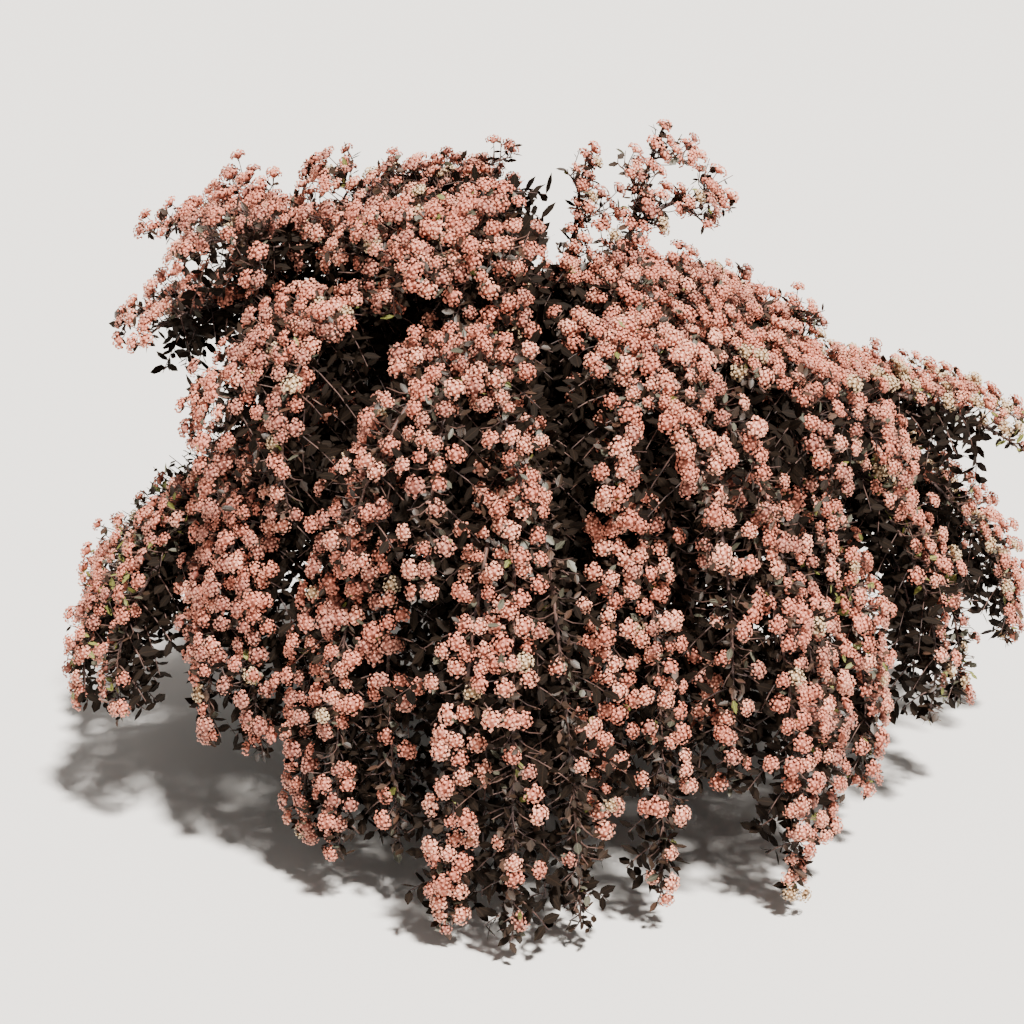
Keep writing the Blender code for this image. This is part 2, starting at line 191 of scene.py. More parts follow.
def bark_height(radius, height):
    """How far the bark's pattern has run: up the foot's side, and then in over its top."""
    return height * BARK_RISE + (TOP_EDGE - min(radius, TOP_EDGE)) * TOP_STRETCH


def foot_mesh():
    """The foot as rings from the ground up, closed with a flat cut below and a crown above."""
    corners, places = [], []
    for radius, height in FOOT_OUTLINE:
        for side in range(FOOT_SIDES):
            turn = math.tau * side / FOOT_SIDES
            low = 1 - height / FOOT_HEIGHT
            swell = 1 + ROOT_LOBE_SHARE * low**2 * math.cos(ROOT_LOBES * turn + ROOT_LOBE_TURN)
            around = Vector((math.cos(turn), math.sin(turn), 0))
            ridge = sum(
                share * noise.noise(around * across + Vector((0, 0, height * up)))
                for across, up, share in FOOT_RIDGES
            )
            reach = radius * swell + BARK_RIDGE * ridge * min(radius / RIDGE_FADE, 1)
            lift = 0 if height == 0 else RIDGE_LIFT * BARK_RIDGE * ridge
            corners.append((reach * around.x, reach * around.y, height + lift))
            places.append((around.x, around.y, bark_height(radius, height)))
    last = (len(FOOT_OUTLINE) - 1) * FOOT_SIDES
    faces = []
    for row in range(0, last, FOOT_SIDES):
        for side in range(FOOT_SIDES):
            a, b = row + side, row + (side + 1) % FOOT_SIDES
            faces.append((a, b, b + FOOT_SIDES, a + FOOT_SIDES))
    faces.append(tuple(reversed(range(FOOT_SIDES))))
    middle = len(corners)
    corners.append((0, 0, FOOT_HEIGHT))
    places.append((0, 0, bark_height(0, FOOT_HEIGHT)))
    faces += [(last + s, last + (s + 1) % FOOT_SIDES, middle) for s in range(FOOT_SIDES)]
    made = new_mesh("woody_foot", corners, faces=faces)
    made.polygons.foreach_set("use_smooth", [True] * len(faces))
    return marked(made, "bark_place", "FLOAT_VECTOR", places)


bark = bark_finish()
foot = placed("woody_foot", foot_mesh())
foot.data.materials.append(bark)
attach(foot, "root")
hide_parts("stool")

# Canes: one main bough for each spray, standing in rings on the foot and rising to where its
# spray begins. They are last year's wood, as thick as a finger, with peeling bark in ridges.
FOOT_SEAT = 0.0640
CANE_SEAT = 0.0703
SEAT_GAP = 0.0003
CANE_BOW = 0.42
CANE_TIP_RUN = 0.5
CANE_AIM_SHARE = 0.2
CANE_POINTS = 44
CANE_SIDES = 14
CANE_RELIEF = 0.17
BARK_ALONG = 9.0
RIDGE_LEVEL = 0.55
LIMB_MARKS = ("thick", "along", "around")
ARCH_OVER_SHARE = 0.45
ARCH_LIFT = 0.06
ARCH_BULGE = 1.05
ARCH_DOWN_SHARE = 0.62


class Tier(NamedTuple):
    """What the sprays of one tier share: where they leave their canes, where those stand on
    the foot and how thick they are, and how far the laterals turn aside, in degrees."""

    name: str
    start_radius: float
    start_height: float
    foot_ring: float
    foot_radius: float
    tip_radius: float
    spread: float


class Spray(NamedTuple):
    """One spray: its tier, its azimuth in degrees from the viewer's side towards the right, the
    height its arch rises towards, its tip's radius and height, how far down its right and left
    laterals reach, how freely its stem and its right and left laterals flower higher up and
    low down, and the mix of its blossom and of its leaves."""

    tier: Tier
    azimuth: float
    rise: float
    reach: float
    tip: float
    ends: tuple = (0.92, 0.88)
    bloom: tuple = (0.85, 0.70, 0.70)
    low_bloom: tuple = (0.65, 0.50, 0.50)
    blossom: str = "even"
    foliage: str = "dark"


SKIRT = Tier("skirt", 0.30, 0.80, 0.092, 0.0100, 0.0060, 8.5)
SHOULDER = Tier("shoulder", 0.20, 0.87, 0.055, 0.0095, 0.0058, 13.0)
CROWN = Tier("crown", 0.055, 0.93, 0.022, 0.0090, 0.0056, 28.0)

SKIRT_SEEN = (
    Spray(SKIRT, -98, 0.555, 0.86, 0.20, (0.92, 0.88), (0.05, 0.05, 0.05), (0.8, 0.8, 0.8),
          "even", "green"),
    Spray(SKIRT, -72, 0.60, 0.83, 0.23, (0.98, 0.96), (0.50, 0.65, 0.40), (0.9, 0.7, 0.9),
          "even", "green"),
    Spray(SKIRT, -51, 0.80, 0.69, 0.235, (1.00, 0.90), (2.40, 1.60, 1.60), (0.8, 0.8, 0.8),
          "ripe"),
    Spray(SKIRT, -27, 0.87, 0.67, 0.10, (0.99, 1.00), (0.90, 0.80, 1.20), (0.5, 0.1, 0.8),
          "ripe"),
    Spray(SKIRT, -1, 0.88, 0.785, 0.045, (1.00, 1.00), (0.75, 0.10, 0.75), (0.15, 0.05, 1.0),
          "fresh"),
    Spray(SKIRT, 19, 0.88, 0.71, 0.055, (0.80, 0.91), (0.80, 0.35, 1.60), (0.35, 0.5, 0.6),
          "fresh"),
    Spray(SKIRT, 36, 0.86, 0.775, 0.05, (0.96, 0.86), (0.70, 0.65, 0.40), (0.8, 0.7, 0.3)),
    Spray(SKIRT, 57, 0.80, 0.72, 0.13, (0.97, 0.94), (0.75, 0.70, 0.90), (0.7, 1.0, 0.6),
          "even", "mixed"),
    Spray(SKIRT, 79, 0.70, 0.83, 0.19, (0.97, 0.99), (0.65, 0.60, 0.60), (0.4, 0.3, 0.3),
          "fading", "mixed"),
    Spray(SKIRT, 100, 0.655, 1.00, 0.18, (0.92, 0.88), (4.0, 3.0, 3.0), (4.0, 3.0, 3.0),
          "fading", "mixed"),
)
SKIRT_BACK_FIRST = Spray(SKIRT, 128, 0.85, 0.71, 0.14)
SKIRT_BACK_STEP, SKIRT_BACK_COUNT = 26.5, 5

SHOULDER_SEEN = (
    Spray(SHOULDER, -86, 0.94, 0.72, 0.87, (0.92, 0.88), (0.90, 0.80, 0.90), (1.0, 0.8, 1.0)),
    Spray(SHOULDER, -50, 1.02, 0.66, 0.65, (0.98, 0.88), (0.80, 1.60, 0.95), (0.8, 0.5, 1.0),
          "ripe"),
    Spray(SHOULDER, -12, 0.97, 0.70, 0.60, (0.82, 0.98), (0.60, 0.55, 0.50), (0.5, 0.6, 0.5)),
    Spray(SHOULDER, 25, 0.96, 0.70, 0.62, (0.98, 0.82), (0.85, 0.50, 0.50), (0.6, 0.8, 0.8),
          "fresh"),
    Spray(SHOULDER, 60, 0.87, 0.74, 0.64, (0.92, 0.88), (1.00, 1.00, 0.75), (0.8, 0.9, 0.7)),
    Spray(SHOULDER, 95, 0.715, 0.97, 0.65, (0.92, 0.88), (1.00, 0.90, 0.90), (0.9, 0.8, 0.6),
          "fading", "mixed"),
)
SHOULDER_BACK_FIRST = Spray(SHOULDER, 132, 0.85, 0.67, 0.69)
SHOULDER_BACK_STEP, SHOULDER_BACK_COUNT = 46, 3

CROWN_SPRAYS = (
    Spray(CROWN, -88, 1.07, 0.68, 1.045, (0.92, 0.88), (0.80, 0.75, 0.85), (0.9, 0.8, 0.9), "ripe"),
    Spray(CROWN, -31, 1.165, 0.41, 0.97, (0.92, 0.88), (0.65, 0.80, 0.75), (0.6, 0.8, 0.6)),
    Spray(CROWN, 54, 0.98, 0.42, 0.90, (0.92, 0.88), (0.65, 1.00, 0.45), (0.7, 1.0, 0.4)),
    Spray(CROWN, 120, 0.90, 0.50, 0.84, (0.92, 0.88), (0.80, 0.80, 0.80), (0.8, 0.8, 0.8)),
    Spray(CROWN, 212, 1.145, 0.40, 1.01, (0.92, 0.88), (0.75, 0.75, 0.75), (0.8, 0.8, 0.8), "ripe"),
)
BACK_TURN, BACK_RISE = (-3, 3), (-0.01, 0.02)
BACK_REACH, BACK_TIP = (-0.03, 0.03), (-0.05, 0.05)


def back_sprays(first, step, count):
    """Sprays of the far half like the given one, with a seeded difference in place and size."""
    chance = random.Random(f"{first.tier.name} back")
    return tuple(
        first._replace(
            azimuth=first.azimuth + step * k + chance.uniform(*BACK_TURN),
            rise=first.rise + chance.uniform(*BACK_RISE),
            reach=first.reach + chance.uniform(*BACK_REACH),
            tip=first.tip + chance.uniform(*BACK_TIP),
        )
        for k in range(count)
    )


def polar(azimuth, radius, height):
    """A point from its azimuth in degrees, its distance from the plant's axis and its height."""
    turn = math.radians(azimuth)
    return Vector((radius * math.sin(turn), -radius * math.cos(turn), height))


def bezier(p0, p1, p2, p3, share):
    """A point of the curve that leaves p0 towards p1 and comes to p3 from p2."""
    left = 1 - share
    return p0 * left**3 + p1 * 3 * left**2 * share + p2 * 3 * left * share**2 + p3 * share**3


def spray_path(spray, share):
    """The stem's line: out from the cane's tip, over the top of its arch and down to its tip."""
    tier = spray.tier
    over = tier.start_radius + ARCH_OVER_SHARE * (spray.reach - tier.start_radius)
    down = spray.tip + ARCH_DOWN_SHARE * (spray.rise - spray.tip)
    return bezier(
        polar(spray.azimuth, tier.start_radius, tier.start_height),
        polar(spray.azimuth, over, spray.rise + ARCH_LIFT),
        polar(spray.azimuth, spray.reach * ARCH_BULGE, down),
        polar(spray.azimuth, spray.reach, spray.tip),
        share,
    )


def even_shares(count):
    """Shares from 0 to 1 in even steps."""
    return [k / (count - 1) for k in range(count)]


def cane_path(foot_place, spray):
    """A cane's line: upright where it leaves the foot, and in line with its spray at its end."""
    start = spray_path(spray, 0)
    way = (spray_path(spray, CANE_AIM_SHARE) - start).normalized()
    height = start.z - CANE_SEAT
    seat = foot_place + Vector((0, 0, CANE_SEAT - foot_place.z))
    end = start - way * SEAT_GAP
    upright = seat + Vector((0, 0, height * CANE_BOW))
    into = end - way * CANE_TIP_RUN * start.xy.length
    return [foot_place] + [bezier(seat, upright, into, end, t) for t in even_shares(CANE_POINTS)]


def tapered(line, thick, thin):
    """A limb: its line, and its thickness all along it."""
    return line, [thick + (thin - thick) * share for share in even_shares(len(line))]


def limb_lines(name, limbs):
    """A mesh of the limbs' lines, with each corner's thickness."""
    corners, edges, thick = [], [], []
    for points, radii in limbs:
        first = len(corners)
        corners += points
        thick += radii
        edges += [(first + k, first + k + 1) for k in range(len(points) - 1)]
    return marked(new_mesh(name, corners, edges), "thick", "FLOAT", thick)


def new_tree(name, inputs):
    """A Geometry Nodes tree with named inputs, and the sockets that give them."""
    tree = bpy.data.node_groups.new(name, "GeometryNodeTree")
    face = tree.interface
    face.new_socket("Geometry", in_out="INPUT", socket_type="NodeSocketGeometry")
    for label, kind in inputs.items():
        face.new_socket(label, in_out="INPUT", socket_type="NodeSocket" + kind)
    face.new_socket("Geometry", in_out="OUTPUT", socket_type="NodeSocketGeometry")
    return tree, tree.nodes.new("NodeGroupInput").outputs


def end_tree(tree, geometry, finish):
    """A tree ends in real, smooth geometry that wears its finish."""
    real = node(tree, "GeometryNodeRealizeInstances", {"Geometry": geometry})[0]
    smooth = node(tree, "GeometryNodeSetShadeSmooth", {"Geometry": real})[0]
    worn = node(tree, "GeometryNodeSetMaterial", {"Geometry": smooth, "Material": finish})[0]
    node(tree, "NodeGroupOutput", {"Geometry": worn})


def named(tree, label, kind):
    """Reads an attribute of the mesh in a tree."""
    sockets = {"Name": label}
    return node(tree, "GeometryNodeInputNamedAttribute", sockets, data_type=kind)["Attribute"]


def store(tree, geometry, label, value, kind):
    """Writes an attribute on the corners of the mesh in a tree."""
    sockets = {"Geometry": geometry, "Name": label, "Value": value}
    return node(tree, "GeometryNodeStoreNamedAttribute", sockets, data_type=kind)[0]


def limb_tree():
    """Lines become round limbs of their own thickness, with bark ridges along them."""
    inputs = {"Sides": "Int", "Bark relief": "Float", "Finish": "Material"}
    tree, given = new_tree("limb", inputs)
    ruler = node(tree, "GeometryNodeSplineParameter")
    line = node(tree, "GeometryNodeMeshToCurve", {"Mesh": given["Geometry"]})[0]
    line = store(tree, line, "along", ruler["Length"], "FLOAT")
    sockets = {"Resolution": given["Sides"], "Radius": 1.0}
    ring = node(tree, "GeometryNodeCurvePrimitiveCircle", sockets)["Curve"]
    ring = store(tree, ring, "around", ruler["Factor"], "FLOAT")
    thick = named(tree, "thick", "FLOAT")
    sockets = {"Curve": line, "Profile Curve": ring, "Scale": thick, "Fill Caps": True}
    tube = node(tree, "GeometryNodeCurveToMesh", sockets)[0]
    turn = maths(tree, "MULTIPLY", named(tree, "around", "FLOAT"), math.tau)
    sockets = {
        "X": maths(tree, "COSINE", turn),
        "Y": maths(tree, "SINE", turn),
        "Z": maths(tree, "MULTIPLY", named(tree, "along", "FLOAT"), BARK_ALONG),
    }
    place = node(tree, "ShaderNodeCombineXYZ", sockets)[0]
    tube = store(tree, tube, "bark_place", place, "FLOAT_VECTOR")
    sockets = {"Vector": place, "Scale": 2.2, "Detail": 3.0, "Roughness": 0.7}
    ridge = node(tree, "ShaderNodeTexNoise", sockets)[0]
    ridge = maths(tree, "SUBTRACT", ridge, RIDGE_LEVEL)
    ridge = maths(tree, "MULTIPLY", ridge, given["Bark relief"])
    ridge = maths(tree, "MULTIPLY", ridge, thick)
    facing = node(tree, "GeometryNodeInputNormal")[0]
    push = node(tree, "ShaderNodeVectorMath", {0: facing, "Scale": ridge}, operation="SCALE")[0]
    tube = node(tree, "GeometryNodeSetPosition", {"Geometry": tube, "Offset": push})[0]
    end_tree(tree, tube, given["Finish"])
    return tree


def grown(name, start, tree, inputs, spare):
    """Runs a tree on a starting mesh and leaves a plain mesh without its spare attributes."""
    piece = placed(name, start)
    growth = piece.modifiers.new("growth", "NODES")
    growth.node_group = tree
    for item in tree.interface.items_tree:
        if item.in_out == "INPUT" and item.name in inputs:
            growth[item.identifier] = inputs[item.name]
    graph = bpy.context.evaluated_depsgraph_get()
    result = bpy.data.meshes.new_from_object(
        piece.evaluated_get(graph), preserve_all_data_layers=True, depsgraph=graph
    )
    piece.modifiers.clear()
    piece.data = result
    result.name = name
    for label in spare:
        if label in result.attributes:
            result.attributes.remove(result.attributes[label])
    return piece


skirt = SKIRT_SEEN + back_sprays(SKIRT_BACK_FIRST, SKIRT_BACK_STEP, SKIRT_BACK_COUNT)
shoulder = SHOULDER_SEEN + back_sprays(
    SHOULDER_BACK_FIRST, SHOULDER_BACK_STEP, SHOULDER_BACK_COUNT
)
tiers = ((SKIRT, skirt), (SHOULDER, shoulder), (CROWN, CROWN_SPRAYS))
canes = []
for tier, sprays in tiers:
    for k, spray in enumerate(sprays):
        turn = sprays[0].azimuth + 360 * k / len(sprays)
        line = cane_path(polar(turn, tier.foot_ring, FOOT_SEAT), spray)
        canes.append(tapered(line, tier.foot_radius, tier.tip_radius))

limb = limb_tree()
inputs = {"Sides": CANE_SIDES, "Bark relief": CANE_RELIEF, "Finish": bark}
boughs = grown("canes", limb_lines("canes", canes), limb, inputs, LIMB_MARKS)
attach(boughs, "root")
for tier, sprays in tiers:
    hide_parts(*[f"bough_{tier.name}_{k + 1:02d}" for k in range(len(sprays))])

# Arching stems: each spray is a stem that arches over and hangs, with a lateral peeling off to
# each side. Some at the top also bear long shoots, one with an arm. Young purple-brown wood.
LATERAL_START = (0.16, 0.27)
LATERAL_SHRINK = 0.05
TURN_EASE = 0.7
STEM_THICK, STEM_THIN = 0.0056, 0.0014
STEM_SIDES = 6
STEM_POINTS, SHOOT_POINTS, ARM_POINTS = 40, 16, 14
SHOOT_BOW, ARM_ARCH = 0.02, 0.05
SHOOT_STRAIGHT, ARM_STRAIGHT = 0.6, 0.7
ARM_LEAVES_AT = 0.4
SHOOT_BLOOM = (0.90, 0.90)
TWIG_DARK = (0.040, 0.022, 0.020, 1)
TWIG_ROSY = (0.170, 0.090, 0.070, 1)


class Stem(NamedTuple):
    """A stem: its spray, its line, how freely it flowers higher up and low down, and if it is
    a long shoot."""

    spray: Spray
    line: list
    bloom: tuple = ()
    long: bool = False


def swung(point, turn, share, shrink, sag=0):
    """A stem's point turned away round the plant, drawn in, and let down towards its tip."""
    turned = Matrix.Rotation(math.radians(turn) * share**TURN_EASE, 3, "Z") @ point
    return Vector((turned.x * shrink, turned.y * shrink, turned.z - sag * share))


def lateral_path(spray, side, span, share):
    """A lateral follows the stem's arch, turns away round the plant and stops short of its tip."""
    first, last = span
    point = spray_path(spray, first + (last - first) * share)
    return swung(point, side * spray.tier.spread, share, 1 - LATERAL_SHRINK * share)


class Shoot(NamedTuple):
    """A long shoot: the spray that bears it, how far along, its azimuth, its top's radius
    and height, and those of its arm's tip where it has one."""

    bearer: Spray
    leaves_at: float
    azimuth: float
    top: tuple
    arm: tuple = ()


SHOOTS = (
    Shoot(CROWN_SPRAYS[2], 0.33, 88, (0.255, 1.237), (0.380, 1.09)),
    Shoot(CROWN_SPRAYS[2], 0.14, 90, (0.122, 1.192)),
    Shoot(CROWN_SPRAYS[3], 0.55, 93, (0.560, 0.865)),
    Shoot(CROWN_SPRAYS[1], 0.45, -88, (0.385, 1.165)),
)


def shoot_lines(shoot):
    """The lines of a long shoot and of the arm that leaves it."""
    foot_place = spray_path(shoot.bearer, shoot.leaves_at)
    top = polar(shoot.azimuth, *shoot.top)
    bend = foot_place.lerp(top, 0.5) - Vector((SHOOT_BOW, 0, 0))
    first = foot_place.lerp(bend, SHOOT_STRAIGHT)
    lines = [[bezier(foot_place, first, bend, top, t) for t in even_shares(SHOOT_POINTS)]]
    if shoot.arm:
        root = bezier(foot_place, first, bend, top, ARM_LEAVES_AT)
        tip = polar(shoot.azimuth, *shoot.arm)
        knee = root.lerp(tip, 0.5) + Vector((0, 0, ARM_ARCH))
        first = root.lerp(knee, ARM_STRAIGHT)
        lines.append([bezier(root, first, knee, tip, t) for t in even_shares(ARM_POINTS)])
    return lines


def spray_stems(spray):
    """The stem and laterals of a spray, with the long shoots that it bears."""
    shares = even_shares(STEM_POINTS)
    lines = [[spray_path(spray, share) for share in shares]]
    for side, span in zip((1, -1), zip(LATERAL_START, spray.ends)):
        lines.append([lateral_path(spray, side, span, share) for share in shares])
    found = [Stem(spray, *own) for own in zip(lines, zip(spray.bloom, spray.low_bloom))]
    for shoot in SHOOTS:
        if shoot.bearer is spray:
            found += [Stem(spray, line, SHOOT_BLOOM, True) for line in shoot_lines(shoot)]
    return found


def twig_finish():
    """Young wood: dark purple-brown, rosy where the sun has ripened it."""
    made, tree, surface = new_finish("young_wood", roughness=0.62)
    place = node(tree, "ShaderNodeTexCoord")["Object"]
    patches = node(tree, "ShaderNodeTexNoise", {"Vector": place, "Scale": 26.0, "Detail": 3.0})[0]
    steps = ((0.42, TWIG_DARK), (0.68, TWIG_ROSY))
    tree.links.new(colour_steps(tree, patches, steps), surface["Base Color"])
    return made


def young_limbs(name, limbs, sides):
    """One piece of smooth young wood, grown from its limbs."""
    inputs = {"Sides": sides, "Bark relief": 0.0, "Finish": young_wood}
    return grown(name, limb_lines(name, limbs), limb, inputs, LIMB_MARKS + ("bark_place",))


young_wood = twig_finish()
all_sprays = [spray for _, sprays in tiers for spray in sprays]
stems = [stem for spray in all_sprays for stem in spray_stems(spray)]
limbs = [tapered(stem.line, STEM_THICK, STEM_THIN) for stem in stems]
arches = young_limbs("arching_stems", limbs, STEM_SIDES)
spray_nodes = {
    tier.name: [f"spray_{tier.name}_{k + 1:02d}" for k in range(len(sprays))]
    for tier, sprays in tiers
}
all_spray_nodes = [name for names in spray_nodes.values() for name in names]
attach(arches, "root")
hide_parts(*all_spray_nodes)

# Branchlets: where the light is best, over the crown and the upper shoulders, the stems branch
# once more to both sides. They are as dark and slender as the stems' ends and fork like them.
# Others hang from the crown's stems and close the space above the shoulders.
LIGHT_OUTWARD, LIGHT_UPWARD = 0.8, 0.75
BRANCHLET_ALONG = (0.2, 0.9)
BRANCHLET_POINTS, BRANCHLET_SIDES = 6, 5
BRANCHLET_THICK = 0.0024


class Fork(NamedTuple):
    """A kind of branchlet: how far apart they stand, from where to where on the stems of each
    tier, how they rise and how they droop, how long they are and how freely they flower."""

    spacing: float
    spans: dict
    rise: float
    droop: float
    lengths: tuple
    bloom: tuple


RAISED = Fork(
    spacing=0.065, spans={"crown": (0.10, 0.85), "shoulder": (0.06, 0.45)}, rise=0.35,
    droop=0.30, lengths=(0.06, 0.11), bloom=(0.68, 0.68),
)
HANGING = Fork(
    spacing=0.07, spans={"crown": (0.30, 0.72)}, rise=0.0,
    droop=0.95, lengths=(0.07, 0.12), bloom=(0.55, 0.55),
)


def outward(point):
    """The level direction that leads from the plant's axis to a point."""
    return Vector((point.x, point.y, 0)).normalized()


def outer_side(point, way):
    """The direction square to a stem that looks outwards and up."""
    light = outward(point) * LIGHT_OUTWARD
    light.z = LIGHT_UPWARD
    return (light - way * light.dot(way)).normalized()


def at_length(line, step):
    """Places a step apart along a line: the point, the direction and the share of its length."""
    runs = [(b - a).length for a, b in zip(line, line[1:])]
    total = sum(runs)
    found, passed, ahead = [], 0.0, step / 2
    for (a, b), run in zip(zip(line, line[1:]), runs):
        while passed + run > ahead:
            found.append((a.lerp(b, (ahead - passed) / run), (b - a).normalized(), ahead / total))
            ahead += step
        passed += run
    return found


def drooping(point, aim, length, droop, count):
    """The line of a shoot that is bent down by its weight."""
    fall = Vector((0, 0, -droop * length))
    return [point + aim * length * t + fall * t**2 for t in even_shares(count)]


def branched(stem, fork, chance):
    """The branchlets of one stem, to its two sides by turns."""
    first, last = fork.spans[stem.spray.tier.name]
    side = 1
    for point, way, share in at_length(stem.line, fork.spacing):
        side = -side
        if first < share < last:
            aim = way.cross(outer_side(point, way)) * side + way * chance.uniform(*BRANCHLET_ALONG)
            aim = (aim + Vector((0, 0, fork.rise))).normalized()
            length = chance.uniform(*fork.lengths)
            line = drooping(point, aim, length, fork.droop, BRANCHLET_POINTS)
            yield Stem(stem.spray, line, fork.bloom)


branchlets = []
chance = random.Random("branchlets")
for stem in stems:
    if stem.spray.tier.name in RAISED.spans:
        branchlets += branched(stem, RAISED, chance)
chance = random.Random("hanging branchlets")
for stem in stems:
    if stem.spray.tier.name in HANGING.spans and not stem.long:
        branchlets += branched(stem, HANGING, chance)
limbs = [tapered(stem.line, BRANCHLET_THICK, STEM_THIN) for stem in branchlets]
forks = young_limbs("branchlets", limbs, BRANCHLET_SIDES)
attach(forks, "root")
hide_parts(*all_spray_nodes)

# Side twigs: short shoots set all along the stems in a spiral, most of them on the outer, upper
# side. Each curves up towards the light and carries a few leaves and one blossom head.
TWIG_SPACING = 0.0062
TWIG_LENGTH = (0.018, 0.064)
TWIG_THICKNESS = (0.0015, 0.0012, 0.0008)
TWIG_SIDES = 3
TWIG_LEAN = (math.radians(44), math.radians(76))
TWIG_SPREAD = 0.60
TWIG_OUTWARD, TWIG_UPWARD = 0.45, 0.5
NEXT_TURN, TURN_UNEVEN = math.radians(137.5), 0.3
# Twigs are shorter near a stem's root and its tip, and they grow to full length from there.
ROOT_SHARE, ROOT_GROWTH = 0.62, 3
TIP_SHARE, TIP_GROWTH = 0.46, 2.0
LONG_SHOOT_SHARE = 0.66
FLOWERING_LIT, FLOWERING_BESIDE, FLOWERING_SHADED = 0.97, 0.62, 0.10
LIT_SWING = 1.35
LOW_FROM, LOW_FULL = 0.62, 0.80
SHADE_REACH = (0.10, 0.15, 0.20, 0.25)
SHADE_ROOM = 0.055


class Twig(NamedTuple):
    """A side twig: its points, what spray it grows on, and if it flowers."""

    points: list
    spray: Spray
    flowers: bool


def shaded(point, outer, stems_near):
    """True where another stem arches over a place and keeps the sun from it."""
    hidden = [stems_near.find(point + outer * d)[2] < SHADE_ROOM for d in SHADE_REACH]
    return sum(hidden) > 1


def round_about(side, axis, turn):
    """A direction square to an axis, turned about it."""
    return side * math.cos(turn) + axis.cross(side) * math.sin(turn)


def side_twigs(stem, stems_near, chance):
    """The twigs of one stem."""
    turn = chance.uniform(0, math.tau)
    for point, way, share in at_length(stem.line, TWIG_SPACING):
        turn = (turn + NEXT_TURN + chance.uniform(-TURN_UNEVEN, TURN_UNEVEN)) % math.tau
        swing = (turn - math.pi) * TWIG_SPREAD
        outer = outer_side(point, way)
        across = round_about(outer, way, swing)
        lean = chance.uniform(*TWIG_LEAN)
        first = (way * math.cos(lean) + across * math.sin(lean)).normalized()
        last = first + outward(point) * TWIG_OUTWARD + Vector((0, 0, TWIG_UPWARD))
        full = min(1.0, ROOT_SHARE + ROOT_GROWTH * share, TIP_SHARE + TIP_GROWTH * (1 - share))
        full *= LONG_SHOOT_SHARE if stem.long else 1
        length = chance.uniform(*TWIG_LENGTH) * full
        bend = point + first * length * 0.5
        points = [point, bend, bend + last.normalized() * length * 0.5]
        likely = FLOWERING_LIT if abs(swing) < LIT_SWING else FLOWERING_BESIDE
        if stem.spray.tier is not CROWN and shaded(point, outer, stems_near):
            likely = FLOWERING_SHADED
        high, low = stem.bloom
        lower = min(max((share - LOW_FROM) / (LOW_FULL - LOW_FROM), 0), 1)
        likely *= high + (low - high) * lower
        yield Twig(points, stem.spray, chance.random() < likely)


chance = random.Random("side twigs")
stems_near = KDTree(sum(len(stem.line) for stem in stems))
for stem in stems:
    for point in stem.line:
        stems_near.insert(point, 0)
stems_near.balance()
twigs = []
for stem in stems + branchlets:
    twigs += side_twigs(stem, stems_near, chance)
limbs = [(twig.points, TWIG_THICKNESS) for twig in twigs]
shoots = young_limbs("side_twigs", limbs, TWIG_SIDES)
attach(shoots, "root")
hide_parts(*all_spray_nodes)

# Inner shoots: behind the outer stems hang others that the sun doesn't reach. They, the shaded
# side of every stem and the canes bear leafy shoots without blossom, which fill the dark inside.
# An inner stem is told by how far it turns aside, how far it shrinks inwards and how far it sags.
INNER_STEM_START, INNER_STEM_POINTS = 0.12, 24
INNER_STEM_THICK = 0.0040
INNER_STEM_ENDS = {"skirt": 0.98, "shoulder": 0.92, "crown": 0.85}
INNER_STEM_TURN = {"skirt": 7.0, "shoulder": 10.0, "crown": 22.0}
INNER_STEMS = {
    "skirt": ((0.6, 0.10, 0), (-0.6, 0.10, 0), (0.2, 0.34, 0), (-1.6, 0.24, 0)),
    "back": (
        (0.6, 0.10, 0), (-0.6, 0.10, 0), (2.3, 0.10, 0), (-2.3, 0.10, 0),
        (0.9, 0.42, 0), (-0.9, 0.42, 0),
    ),
    "shoulder": ((1, 0.15, 0), (-1, 0.15, 0), (0, 0.36, 0.03), (0.4, 0.58, 0.30)),
    "crown": ((1, 0.15, 0.04), (-1, 0.15, 0.04), (0, 0.30, 0.10), (0, 0.75, -0.05)),
}
BACK_FROM = 110
INNER_SPACING = 0.030
INNER_LENGTH = (0.07, 0.13)
INNER_THICKNESS = (0.0016, 0.0014, 0.0012, 0.0008)
INNER_SIDEWAYS, INNER_INWARD, INNER_ALONG = (0.4, 1.0), (-0.1, 0.9), 0.3
INNER_DROOP = 0.30
INNER_UPTO = {"skirt": 0.97, "shoulder": 0.80, "crown": 0.80}
OUTER_TIP_SHARE, INNER_TIP_SHARE, INNER_TIP_GROWTH = 0.42, 0.55, 1.9
CANE_SHOOT_FROM = 0.14
CANE_SHOOT_SPACING = 0.045
CANE_SHOOT_ALONG = (0, 0.8)
CANE_SHOOT_LENGTH = (0.10, 0.20)


def inner_stem(spray, aside, inwards, sag, share):
    """An inner stem leaves its spray's stem and hangs behind it, to one side."""
    name = spray.tier.name
    right, left = spray.ends
    end = INNER_STEM_ENDS[name] * (right if aside > 0 else left if aside < 0 else min(right, left))
    point = spray_path(spray, INNER_STEM_START + (end - INNER_STEM_START) * share)
    shrink = 1 - inwards * share**0.5
    return swung(point, aside * INNER_STEM_TURN[name], share, shrink, sag)


def inner_line(point, aim, length):
    """The line of a leafy shoot in the shade."""
    return drooping(point, aim.normalized(), length, INNER_DROOP, len(INNER_THICKNESS))


